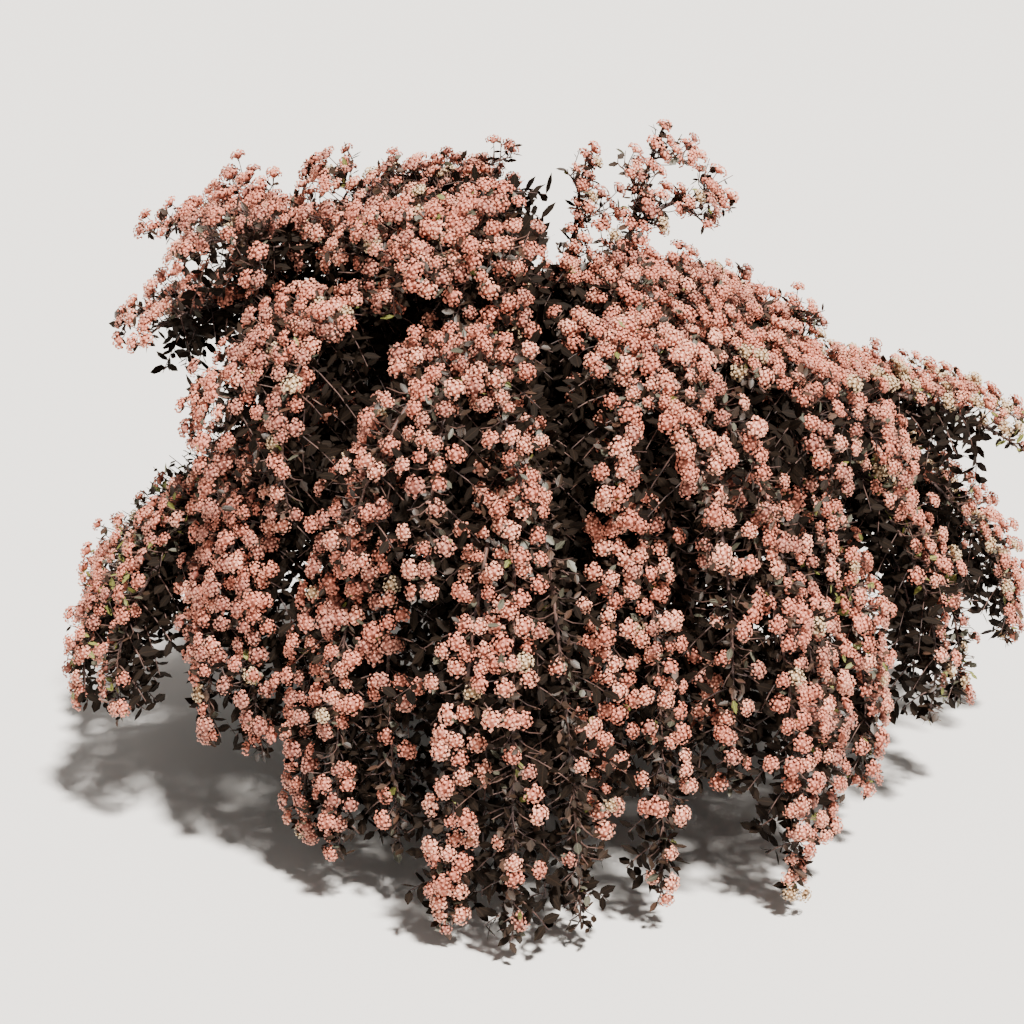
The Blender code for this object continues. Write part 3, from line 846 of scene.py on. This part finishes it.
def shaded_shoots(stem, upto, tip_share, chance):
    """Leafy shoots on the shaded side of a stem, to its two sides by turns."""
    side = 1
    for point, way, share in at_length(stem.line, INNER_SPACING):
        if share > upto:
            break
        side = -side
        outer = outer_side(point, way)
        aim = way.cross(outer) * side * chance.uniform(*INNER_SIDEWAYS)
        aim = aim - outer * chance.uniform(*INNER_INWARD) + way * INNER_ALONG
        full = min(1, tip_share + INNER_TIP_GROWTH * (1 - share))
        yield stem.spray, inner_line(point, aim, chance.uniform(*INNER_LENGTH) * full)


def any_side(axis, turn):
    """The direction square to an axis that a turn about it leads to."""
    return round_about(axis.orthogonal().normalized(), axis, turn)


def cane_shoots(spray, line, chance):
    """Leafy shoots in a spiral round a cane."""
    turn = chance.uniform(0, math.tau)
    for point, way, share in at_length(line, CANE_SHOOT_SPACING):
        turn += NEXT_TURN
        if share > CANE_SHOOT_FROM:
            aim = any_side(way, turn) + way * chance.uniform(*CANE_SHOOT_ALONG)
            yield spray, inner_line(point, aim, chance.uniform(*CANE_SHOOT_LENGTH))


inner_stems = []
for spray in all_sprays:
    at_back = spray.tier is SKIRT and spray.azimuth > BACK_FROM
    for way in INNER_STEMS["back" if at_back else spray.tier.name]:
        line = [inner_stem(spray, *way, share) for share in even_shares(INNER_STEM_POINTS)]
        inner_stems.append(Stem(spray, line))

chance = random.Random("inner shoots")
inner_shoots = []
for stem in stems:
    if not stem.long:
        upto = INNER_UPTO[stem.spray.tier.name]
        inner_shoots += shaded_shoots(stem, upto, OUTER_TIP_SHARE, chance)
for stem in inner_stems:
    inner_shoots += shaded_shoots(stem, 1, INNER_TIP_SHARE, chance)
for spray, (line, _) in zip(all_sprays, canes):
    inner_shoots += cane_shoots(spray, line, chance)
limbs = [(line, INNER_THICKNESS) for _, line in inner_shoots]
limbs += [tapered(stem.line, INNER_STEM_THICK, STEM_THIN) for stem in inner_stems]
inner = young_limbs("inner_shoots", limbs, TWIG_SIDES)
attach(inner, "root")
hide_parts(*all_spray_nodes)

# Leaves: small oval blades, some of them three-lobed, folded along the midrib. Most are a
# glossy purple-black; sprays at the sides also carry bronze, grey-green and yellow-green ones.
LEAF_SHAPES = (
    ((0.0, 0.03), (0.30, 0.245), (0.66, 0.265), (1.0, 0.0)),
    ((0.0, 0.03), (0.34, 0.200), (0.68, 0.185), (1.0, 0.0)),
    ((0.0, 0.03), (0.22, 0.200), (0.44, 0.330), (0.55, 0.220), (0.78, 0.200), (1.0, 0.0)),
)
SHADE_LEAF_SHAPE = ((0.28, 0.21), (0.66, 0.21))
LEAF_FOLD, LEAF_CURL = 0.055, 0.13
LEAF_UNEVENNESS = 0.14
# On the twigs, with the odds of each shape: small leaves that face the light.
LEAVES_ON_TWIG = 2
LEAF_LENGTH = (0.013, 0.024)
LEAF_PLACE, LEAF_PLACE_UNEVEN = 0.6, 0.2
LEAF_KINDS = (5, 4, 2)
LEAF_ALONG = (0.1, 0.8)
LEAF_OUTWARD, LEAF_UPWARD, LEAF_ASIDE, LEAF_SCATTER = 0.6, 0.8, 0.3, 0.5
# Along the stems themselves: older, larger leaves.
STEM_LEAF_SPACING = 0.012
STEM_LEAF_LENGTH = (0.017, 0.028)
STEM_LEAF_STALK = 0.004
STEM_LEAF_ALONG = (0, 0.7)
STEM_LEAF_FORWARD, STEM_LEAF_UPWARD, STEM_LEAF_SCATTER = 0.5, 0.6, 0.4
# On the inner shoots: broad leaves of the shade, in the darker half of their tint: painted shade.
INNER_LEAF_SPACING = 0.0072
INNER_LEAF_LENGTH = (0.022, 0.036)
INNER_LEAF_ALONG = (0.1, 0.7)
INNER_LEAF_PAINTED_SHADE = 0.5
# The blade's pattern: side veins, midrib, and how far each leaf has a shade of its own.
VEINS, VEIN_LEAN, VEIN_EDGE, VEIN_PALE = 44.0, 0.8, (0.80, 1.0), 0.45
RIB_EDGE, RIB_PALE = (0.012, 0.03), 0.8
LEAF_OWN_SHADE = 0.55
# Each tint of leaf has its dark colour, its light one, its roughness and its gloss.
# The shade tint is painted shade: a darker copy of the leaf colours for the leaves inside.
LEAF_TINTS = {
    "shade": ((0.0060, 0.0036, 0.0022, 1), (0.0180, 0.0108, 0.0064, 1), 0.74, 0.11),
    "plum": ((0.012, 0.0066, 0.0040, 1), (0.044, 0.026, 0.016, 1), 0.44, 0.32),
    "bronze": ((0.034, 0.017, 0.010, 1), (0.095, 0.050, 0.032, 1), 0.48, 0.34),
    "sage": ((0.040, 0.041, 0.028, 1), (0.125, 0.120, 0.088, 1), 0.46, 0.34),
    "lime": ((0.085, 0.095, 0.020, 1), (0.270, 0.280, 0.075, 1), 0.50, 0.34),
}
LEAF_MIXES = {
    "dark": {"plum": 0.70, "bronze": 0.17, "sage": 0.11, "lime": 0.02},
    "mixed": {"plum": 0.46, "bronze": 0.18, "sage": 0.20, "lime": 0.16},
    "green": {"plum": 0.34, "bronze": 0.12, "sage": 0.28, "lime": 0.26},
}


class Spot(NamedTuple):
    """Where a leaf, floret or head stands: its place, the way it points, the way it faces, its
    size, its kind and how light its own shade is."""

    place: Vector
    way: Vector
    facing: Vector
    size: float
    kind: int
    shade: float = 0


def with_map(mesh, spots):
    """Lays out a leaf's own pattern map, one spot for each corner."""
    layer = mesh.uv_layers.new(name="UVMap")
    for loop in mesh.loops:
        layer.data[loop.index].uv = spots[loop.vertex_index]
    return mesh


def leaf_mesh(name, outline):
    """A blade along Z whose upper face looks along X, in two halves that meet on the midrib."""
    corners, spots, faces = [], [], []
    last = len(outline) - 1
    for k, (along, half) in enumerate(outline):
        drop = -LEAF_CURL * along**2
        corners.append((drop - (0 if k in (0, last) else LEAF_FOLD), 0, along))
        spots.append((0.5, along))
        if 0 < k < last:
            for side in (-1, 1):
                corners.append((drop, half * side, along))
                spots.append((0.5 + half * side, along))
    middle = [0] + [1 + 3 * k for k in range(last - 1)] + [len(corners) - 1]
    for side in (1, 2):
        edge = [middle[0]] + [m + side for m in middle[1:-1]] + [middle[-1]]
        for k in range(last):
            face = [middle[k], middle[k + 1], edge[k + 1], edge[k]]
            face = [c for i, c in enumerate(face) if c not in face[:i]]
            faces.append(tuple(face if side == 2 else reversed(face)))
    return with_map(new_mesh(name, corners, faces=faces), spots)


def shade_leaf_mesh():
    """A leaf of the shade is flat across: its foot, two pairs of corners on its edge, its tip."""
    low, high = SHADE_LEAF_SHAPE
    edge = [(0, 0), (low[1], low[0]), (high[1], high[0])]
    edge += [(0, 1), (-high[1], high[0]), (-low[1], low[0])]
    corners = [(-LEAF_CURL * along**2, half, along) for half, along in edge]
    made = new_mesh("shade_leaf", corners, faces=[(0, 1, 5), (5, 1, 2, 4), (4, 2, 3)])
    return with_map(made, [(0.5 + half, along) for half, along in edge])


def shape_store(name, meshes):
    """A store of shapes that are copied many times; their order is their kind."""
    kept = bpy.data.collections.new(name)
    for k, shape in enumerate(meshes):
        kept.objects.link(bpy.data.objects.new(f"{name}_{k:02d}", shape))
    return kept


def empty_store(kept):
    """Does away with a store once its shapes are copied."""
    for shape in list(kept.objects):
        bpy.data.objects.remove(shape)
    bpy.data.collections.remove(kept)


SPOT_MARKS = {
    "way": "FLOAT_VECTOR",
    "facing": "FLOAT_VECTOR",
    "size": "FLOAT",
    "kind": "INT",
    "shade": "FLOAT",
}
PLACING_MARKS = ("way", "facing", "size", "kind")


def spot_mesh(name, spots):
    """Loose corners, each with the direction, size, kind and shade of what stands there."""
    made = new_mesh(name, [spot.place for spot in spots])
    for label, kind in SPOT_MARKS.items():
        marked(made, label, kind, [getattr(spot, label) for spot in spots])
    return made


def set_out_tree():
    """Copies of a store's shapes stand on the corners, each turned and sized as told there."""
    inputs = {"Shapes": "Collection", "Unevenness": "Float", "Seed": "Int", "Finish": "Material"}
    tree, given = new_tree("set_out", inputs)
    sockets = {"Collection": given["Shapes"], "Separate Children": True, "Reset Children": True}
    shapes = node(tree, "GeometryNodeCollectionInfo", sockets)[0]
    sockets = {
        "Primary Axis": named(tree, "way", "FLOAT_VECTOR"),
        "Secondary Axis": named(tree, "facing", "FLOAT_VECTOR"),
    }
    axes = {"primary_axis": "Z", "secondary_axis": "X"}
    turn = node(tree, "FunctionNodeAxesToRotation", sockets, **axes)[0]
    least = maths(tree, "SUBTRACT", 1.0, given["Unevenness"])
    most = maths(tree, "ADD", 1.0, given["Unevenness"])
    sockets = {"Min": least, "Max": most, "Seed": given["Seed"]}
    uneven = node(tree, "FunctionNodeRandomValue", sockets, data_type="FLOAT_VECTOR")[0]
    sockets = {0: uneven, "Scale": named(tree, "size", "FLOAT")}
    size = node(tree, "ShaderNodeVectorMath", sockets, operation="SCALE")[0]
    sockets = {
        "Points": given["Geometry"],
        "Instance": shapes,
        "Pick Instance": True,
        "Instance Index": named(tree, "kind", "INT"),
        "Rotation": turn,
        "Scale": size,
    }
    copies = node(tree, "GeometryNodeInstanceOnPoints", sockets)[0]
    end_tree(tree, copies, given["Finish"])
    return tree


def picked(mix, chance):
    """A name from a mix of shares."""
    return chance.choices(list(mix), list(mix.values()))[0]


def scatter(chance, most):
    """A random push, up to so much along each axis."""
    return Vector([chance.uniform(-most, most) for _ in "xyz"])


def twig_leaves(twig, chance):
    """Leaves stand off a twig by turns and hold their faces to the light."""
    start, bend, end = twig.points
    along = (end - start).normalized()
    for k in range(LEAVES_ON_TWIG):
        uneven = chance.uniform(-LEAF_PLACE_UNEVEN, LEAF_PLACE_UNEVEN)
        share = (k + LEAF_PLACE + uneven) / LEAVES_ON_TWIG
        root = start.lerp(bend, share * 2) if share < 0.5 else bend.lerp(end, share * 2 - 1)
        side = any_side(along, chance.uniform(0, math.tau))
        way = (side + along * chance.uniform(*LEAF_ALONG)).normalized()
        facing = outward(root) * LEAF_OUTWARD + Vector((0, 0, LEAF_UPWARD)) + side * LEAF_ASIDE
        facing += scatter(chance, LEAF_SCATTER)
        kind = chance.choices(range(len(LEAF_KINDS)), LEAF_KINDS)[0]
        yield Spot(root, way, facing, chance.uniform(*LEAF_LENGTH), kind, chance.random())


def stem_leaves(line, chance):
    """Older, larger leaves stand close along the stem and darken its inside with painted shade."""
    turn = chance.uniform(0, math.tau)
    for point, way, _ in at_length(line, STEM_LEAF_SPACING):
        turn += NEXT_TURN
        side = round_about(outer_side(point, way), way, turn)
        facing = way * STEM_LEAF_FORWARD + Vector((0, 0, STEM_LEAF_UPWARD))
        facing += scatter(chance, STEM_LEAF_SCATTER)
        root = point + side * STEM_LEAF_STALK
        leaf_way = (side + way * chance.uniform(*STEM_LEAF_ALONG)).normalized()
        size = chance.uniform(*STEM_LEAF_LENGTH)
        yield Spot(root, leaf_way, facing, size, len(LEAF_SHAPES), chance.random())


def inner_leaves(line, chance):
    """Broad leaves in the shade, set close and turned every way, painted darker as shade."""
    turn = chance.uniform(0, math.tau)
    for point, way, _ in at_length(line, INNER_LEAF_SPACING):
        turn += NEXT_TURN
        facing = scatter(chance, 1) + outer_side(point, way)
        leaf_way = (any_side(way, turn) + way * chance.uniform(*INNER_LEAF_ALONG)).normalized()
        size = chance.uniform(*INNER_LEAF_LENGTH)
        shade = chance.random() * INNER_LEAF_PAINTED_SHADE
        yield Spot(point, leaf_way, facing, size, len(LEAF_SHAPES), shade)


def ranged(tree, value, given, wanted):
    """Stretches a value from the range given to the range wanted."""
    sockets = dict(enumerate((value, *given, *wanted)))
    return node(tree, "ShaderNodeMapRange", sockets)[0]


def own_shade(tree):
    """Each leaf or head has a shade of its own, from 0 to 1."""
    return node(tree, "ShaderNodeAttribute", attribute_name="shade")["Fac"]


def tinted(tree, surface, share, dark, light):
    """Colours the surface between dark and light."""
    sockets = {"Factor": share, 6: dark, 7: light}
    mixed = node(tree, "ShaderNodeMix", sockets, data_type="RGBA")[2]
    tree.links.new(mixed, surface["Base Color"])


def set_out_by_tint(name, spots_by_tint, shapes, unevenness, finishes):
    """Sets out one piece for each tier and tint, and tells each one's tier."""
    for seed, ((tier_name, tint), spots) in enumerate(spots_by_tint.items()):
        inputs = {"Shapes": shapes, "Unevenness": unevenness, "Seed": seed}
        inputs["Finish"] = finishes[tint]
        full_name = f"{name}_{tint}_{tier_name}"
        start = spot_mesh(full_name, spots)
        yield tier_name, grown(full_name, start, set_out, inputs, PLACING_MARKS)


def leaf_finish(name, dark, light, roughness, gloss):
    """A leaf blade: pale midrib and side veins, mottled, with a waxy gloss over it."""
    made, tree, surface = new_finish(name, roughness)
    surface["Specular IOR Level"].default_value = gloss
    place = node(tree, "ShaderNodeUVMap", uv_map="UVMap")[0]
    split = node(tree, "ShaderNodeSeparateXYZ", {"Vector": place})
    from_rib = maths(tree, "ABSOLUTE", maths(tree, "SUBTRACT", split["X"], 0.5))
    lean = maths(tree, "SUBTRACT", split["Y"], maths(tree, "MULTIPLY", from_rib, VEIN_LEAN))
    veins = maths(tree, "SINE", maths(tree, "MULTIPLY", lean, VEINS))
    veins = ranged(tree, veins, VEIN_EDGE, (0.0, VEIN_PALE))
    rib = ranged(tree, from_rib, RIB_EDGE, (RIB_PALE, 0.0))
    lines = maths(tree, "MAXIMUM", veins, rib)
    share = maths(tree, "MULTIPLY", own_shade(tree), LEAF_OWN_SHADE)
    tinted(tree, surface, maths(tree, "ADD", share, lines, use_clamp=True), dark, light)
    emboss(tree, surface, lines, strength=0.35, distance=0.0006)
    return made


chance = random.Random("leaves")
leaf_spots = {(tier.name, tint): [] for tint in LEAF_TINTS for tier, _ in tiers}
for twig in twigs:
    for spot in twig_leaves(twig, chance):
        tint = picked(LEAF_MIXES[twig.spray.foliage], chance)
        leaf_spots[twig.spray.tier.name, tint].append(spot)
# Leaves along the stems and on the inner shoots all wear the shade tint, as painted shade.
for stem in stems:
    leaf_spots[stem.spray.tier.name, "shade"] += stem_leaves(stem.line, chance)
for spray, line in inner_shoots:
    leaf_spots[spray.tier.name, "shade"] += inner_leaves(line, chance)
set_out = set_out_tree()
blades = [leaf_mesh(f"leaf_{k}", outline) for k, outline in enumerate(LEAF_SHAPES)]
leaf_shapes = shape_store("leaf", blades + [shade_leaf_mesh()])
finishes = {tint: leaf_finish(f"leaf_{tint}", *look) for tint, look in LEAF_TINTS.items()}
leaf_pieces = set_out_by_tint("leaves", leaf_spots, leaf_shapes, LEAF_UNEVENNESS, finishes)
for tier_name, leaves in leaf_pieces:
    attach(leaves, "root")
    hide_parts(*spray_nodes[tier_name])
empty_store(leaf_shapes)

# Blossom heads: each is a domed cluster of small, round florets and buds on a cushion of
# their stalks. Fresh ones are pale pink, open ones salmon, ripe ones brick, fading ones cream.
HEAD_RADIUS = 0.0150
HEAD_FLATNESS = 0.62
HEAD_SPREAD = math.radians(104)
HEAD_FLORETS = (36, 32, 28, 23, 15)
HEAD_KINDS = (3, 5, 5, 3, 2)
HEAD_GROWTH = 0.4
HEAD_UNEVENNESS = 0.06
HEAD_SIZE = (0.86, 1.16)
HEAD_OUTWARD, HEAD_UPWARD, HEAD_SCATTER = 0.35, 0.25, 0.22
HEAD_ROOM = 0.0228
FLORET_RADIUS, FLORET_SIZE = 0.0029, (0.80, 1.18)
# A floret's sides, its rise, and how light its edge is marked: partly its own colour, partly
# painted shade.
FLORET_SIDES, FLORET_RISE, FLORET_EDGE_PAINTED_SHADE = 4, 0.80, 0.28
FLORET_TURN, FLORET_DEPTH = 0.25, (0.90, 1.10)
FLORET_UNEVENNESS = 0.10
FLORET_KIND, CUSHION_KIND = 0, 1
CUSHION_SIDES = 6
CUSHION_RADIUS, CUSHION_RIM, CUSHION_TOP, CUSHION_BOTTOM = 0.80, 0.05, 0.48, -0.5
FLECK_EDGE, PETAL_FLECKS = (0.3, 0.7), (-0.22, 0.22)
HEAD_AGES = (-0.20, 0.16)
# Each tint of blossom has its deep colour and its light one.
BLOSSOM_TINTS = {
    "pale": ((0.47, 0.145, 0.090, 1), (1.00, 0.49, 0.35, 1)),
    "salmon": ((0.37, 0.105, 0.065, 1), (0.91, 0.34, 0.23, 1)),
    "brick": ((0.26, 0.075, 0.052, 1), (0.64, 0.28, 0.20, 1)),
    "cream": ((0.30, 0.175, 0.085, 1), (0.83, 0.65, 0.42, 1)),
}
# The ripe mix, rich in brick heads, sits on sprays turned from the main light: partly their own
# colour, partly painted shade.
BLOSSOM_MIXES = {
    "even": {"pale": 0.30, "salmon": 0.46, "brick": 0.21, "cream": 0.03},
    "fresh": {"pale": 0.52, "salmon": 0.37, "brick": 0.09, "cream": 0.02},
    "ripe": {"pale": 0.13, "salmon": 0.42, "brick": 0.42, "cream": 0.03},
    "fading": {"pale": 0.27, "salmon": 0.36, "brick": 0.14, "cream": 0.23},
}


def ring(count, radius, height):
    """Corners set evenly round the Z axis."""
    turns = [math.tau * k / count for k in range(count)]
    return [(math.cos(turn) * radius, math.sin(turn) * radius, height) for turn in turns]


def floret_mesh():
    """A floret: the edge of its petals round a raised middle, each marked if near its heart."""
    count = FLORET_SIDES
    faces = [(k, (k + 1) % count, count) for k in range(count)]
    made = new_mesh("floret", ring(count, 1, 0) + [(0, 0, FLORET_RISE)], faces=faces)
    # Light at the heart, deeper at the edge: partly the floret's own pale tip, partly painted
    # highlight and painted shade.
    return marked(made, "heart", "FLOAT", [FLORET_EDGE_PAINTED_SHADE] * count + [1.0])


def cushion_mesh():
    """The cushion of stalks under a head's florets."""
    count = CUSHION_SIDES
    corners = ring(count, CUSHION_RADIUS, CUSHION_RIM)
    corners += [(0, 0, CUSHION_TOP), (0, 0, CUSHION_BOTTOM)]
    faces = [(k, (k + 1) % count, count) for k in range(count)]
    faces += [((k + 1) % count, k, count + 1) for k in range(count)]
    made = new_mesh("cushion", corners, faces=faces)
    # Marked deepest: partly the stalks' own colour, partly painted shade under the florets.
    return marked(made, "heart", "FLOAT", [0.0] * len(corners))


def head_spots(florets, chance):
    """A cushion, and florets spread evenly in a spiral over the dome above it."""
    up, side = Vector((0, 0, 1)), Vector((1, 0, 0))
    radius = HEAD_RADIUS * (florets / HEAD_FLORETS[0]) ** HEAD_GROWTH
    spots = [Spot(Vector((0, 0, 0)), up, side, radius, CUSHION_KIND)]
    for k in range(florets):
        share = (k + 0.5) / florets
        fall = math.acos(1 - share * (1 - math.cos(HEAD_SPREAD)))
        turn = NEXT_TURN * k + chance.uniform(-FLORET_TURN, FLORET_TURN)
        around = Vector((math.cos(turn), math.sin(turn), 0))
        place = around * math.sin(fall) + up * math.cos(fall) * HEAD_FLATNESS
        place = place * radius * chance.uniform(*FLORET_DEPTH)
        way = around * math.sin(fall) + up * math.cos(fall) / HEAD_FLATNESS
        facing = around.cross(up) + around * chance.uniform(-1, 1)
        size = FLORET_RADIUS * chance.uniform(*FLORET_SIZE)
        spots.append(Spot(place, way.normalized(), facing, size, FLORET_KIND))
    return spots


def blossom_finish(name, deep, light):
    """Petals: deep between the florets and light at their hearts, each head of its own age."""
    made, tree, surface = new_finish(name, roughness=0.62)
    # This mark is partly the petals' own colour and partly painted highlight and painted shade
    # between the florets.
    heart = node(tree, "ShaderNodeAttribute", attribute_name="heart")["Fac"]
    place = node(tree, "ShaderNodeTexCoord")["Object"]
    fleck = node(tree, "ShaderNodeTexNoise", {"Vector": place, "Scale": 420.0, "Detail": 2.0})[0]
    fleck = ranged(tree, fleck, FLECK_EDGE, PETAL_FLECKS)
    age = ranged(tree, own_shade(tree), (0.0, 1.0), HEAD_AGES)
    share = maths(tree, "ADD", maths(tree, "ADD", heart, fleck), age, use_clamp=True)
    tinted(tree, surface, share, deep, light)
    emboss(tree, surface, fleck, strength=0.25, distance=0.0005)
    return made


def has_room(place, taken):
    """Heads crowd up to each other but not into each other; a place is taken once it is given."""
    cell = tuple(math.floor(value / HEAD_ROOM) for value in place)
    for step in product((-1, 0, 1), repeat=3):
        for other in taken.get(tuple(a + b for a, b in zip(cell, step)), ()):
            if (other - place).length < HEAD_ROOM:
                return False
    taken.setdefault(cell, []).append(place)
    return True


chance = random.Random("blossom")
floret_shapes = shape_store("floret", [floret_mesh(), cushion_mesh()])
head_meshes = []
for k, florets in enumerate(HEAD_FLORETS):
    inputs = {"Shapes": floret_shapes, "Unevenness": FLORET_UNEVENNESS, "Seed": k}
    spots = spot_mesh(f"head_{k}", head_spots(florets, chance))
    head = grown(f"head_{k}", spots, set_out, inputs, PLACING_MARKS + ("shade",))
    head_meshes.append(head.data)
    bpy.data.objects.remove(head)
empty_store(floret_shapes)

blossom_spots = {(tier.name, tint): [] for tier, _ in tiers for tint in BLOSSOM_TINTS}
taken = {}
for twig in twigs:
    _, bend, end = twig.points
    if not twig.flowers or not has_room(end, taken):
        continue
    way = (end - bend).normalized() + outward(end) * HEAD_OUTWARD + Vector((0, 0, HEAD_UPWARD))
    way = (way + scatter(chance, HEAD_SCATTER)).normalized()
    kind = chance.choices(range(len(HEAD_FLORETS)), HEAD_KINDS)[0]
    tint = picked(BLOSSOM_MIXES[twig.spray.blossom], chance)
    size = chance.uniform(*HEAD_SIZE)
    spot = Spot(end, way, way.orthogonal(), size, kind, chance.random())
    blossom_spots[twig.spray.tier.name, tint].append(spot)
head_shapes = shape_store("head", head_meshes)
finishes = {tint: blossom_finish(f"blossom_{tint}", *look) for tint, look in BLOSSOM_TINTS.items()}
blossom_pieces = set_out_by_tint("blossom", blossom_spots, head_shapes, HEAD_UNEVENNESS, finishes)
for tier_name, blossom in blossom_pieces:
    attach(blossom, "root")
    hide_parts(*spray_nodes[tier_name])
empty_store(head_shapes)

# Floor: a wide, pale, matt plane at the level of the ground, which carries the shrub's shadow.
# It isn't part of the shrub.
FLOOR_SIDE = 300.0
FLOOR_COLOUR = (0.86, 0.86, 0.85, 1)

half = FLOOR_SIDE / 2
floor_corners = [(-half, -half, 0), (half, -half, 0), (half, half, 0), (-half, half, 0)]
floor = placed("floor", new_mesh("floor", floor_corners, faces=[(0, 1, 2, 3)]))
floor_finish, _, floor_surface = new_finish("pale_floor", roughness=0.95)
floor_surface["Base Color"].default_value = FLOOR_COLOUR
floor.data.materials.append(floor_finish)
floor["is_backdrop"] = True

# Light: one high main light from the front, a little to the right, with soft edges to its
# shadows, and a pale, warm sky that fills them in.
SUN_STRENGTH = 11.5
SUN_COLOUR = (1.0, 0.935, 0.86)
SUN_ANGLE = math.radians(6)
SUN_WAY = Vector((0.26, -0.50, 1.0))
SKY_COLOUR, SKY_STRENGTH = (1.0, 0.94, 0.87, 1), 0.30

sun = placed("main_light", bpy.data.lights.new("main_light", "SUN"))
sun.data.energy = SUN_STRENGTH
sun.data.angle = SUN_ANGLE
sun.data.color = SUN_COLOUR
sun.rotation_euler = SUN_WAY.to_track_quat("Z", "Y").to_euler()
sky = bpy.data.worlds.new("sky")
sky.use_nodes = True
glow = sky.node_tree.nodes["Background"].inputs
glow["Color"].default_value, glow["Strength"].default_value = SKY_COLOUR, SKY_STRENGTH
bpy.context.scene.world = sky

# Camera: a little above the shrub's top, 3.9 m from its middle, looking down on it through a
# long lens, with no shift and no blur.
CAMERA_DOWN = math.radians(18)
CAMERA_AWAY = 3.9
CAMERA_AIM = Vector((-0.015, 0, 0.51))
CAMERA_LENS, CAMERA_SENSOR = 72.18, 36

camera = placed("camera", bpy.data.cameras.new("camera"))
camera.data.sensor_width = CAMERA_SENSOR
camera.data.lens = CAMERA_LENS
away = Vector((0, -math.cos(CAMERA_DOWN), math.sin(CAMERA_DOWN)))
camera.location = CAMERA_AIM + away * CAMERA_AWAY
camera.rotation_euler = (math.pi / 2 - CAMERA_DOWN, 0, 0)
bpy.context.scene.camera = camera

dressed_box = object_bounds()
[[list(corner) for corner in box] for box in (frame_box, dressed_box)]
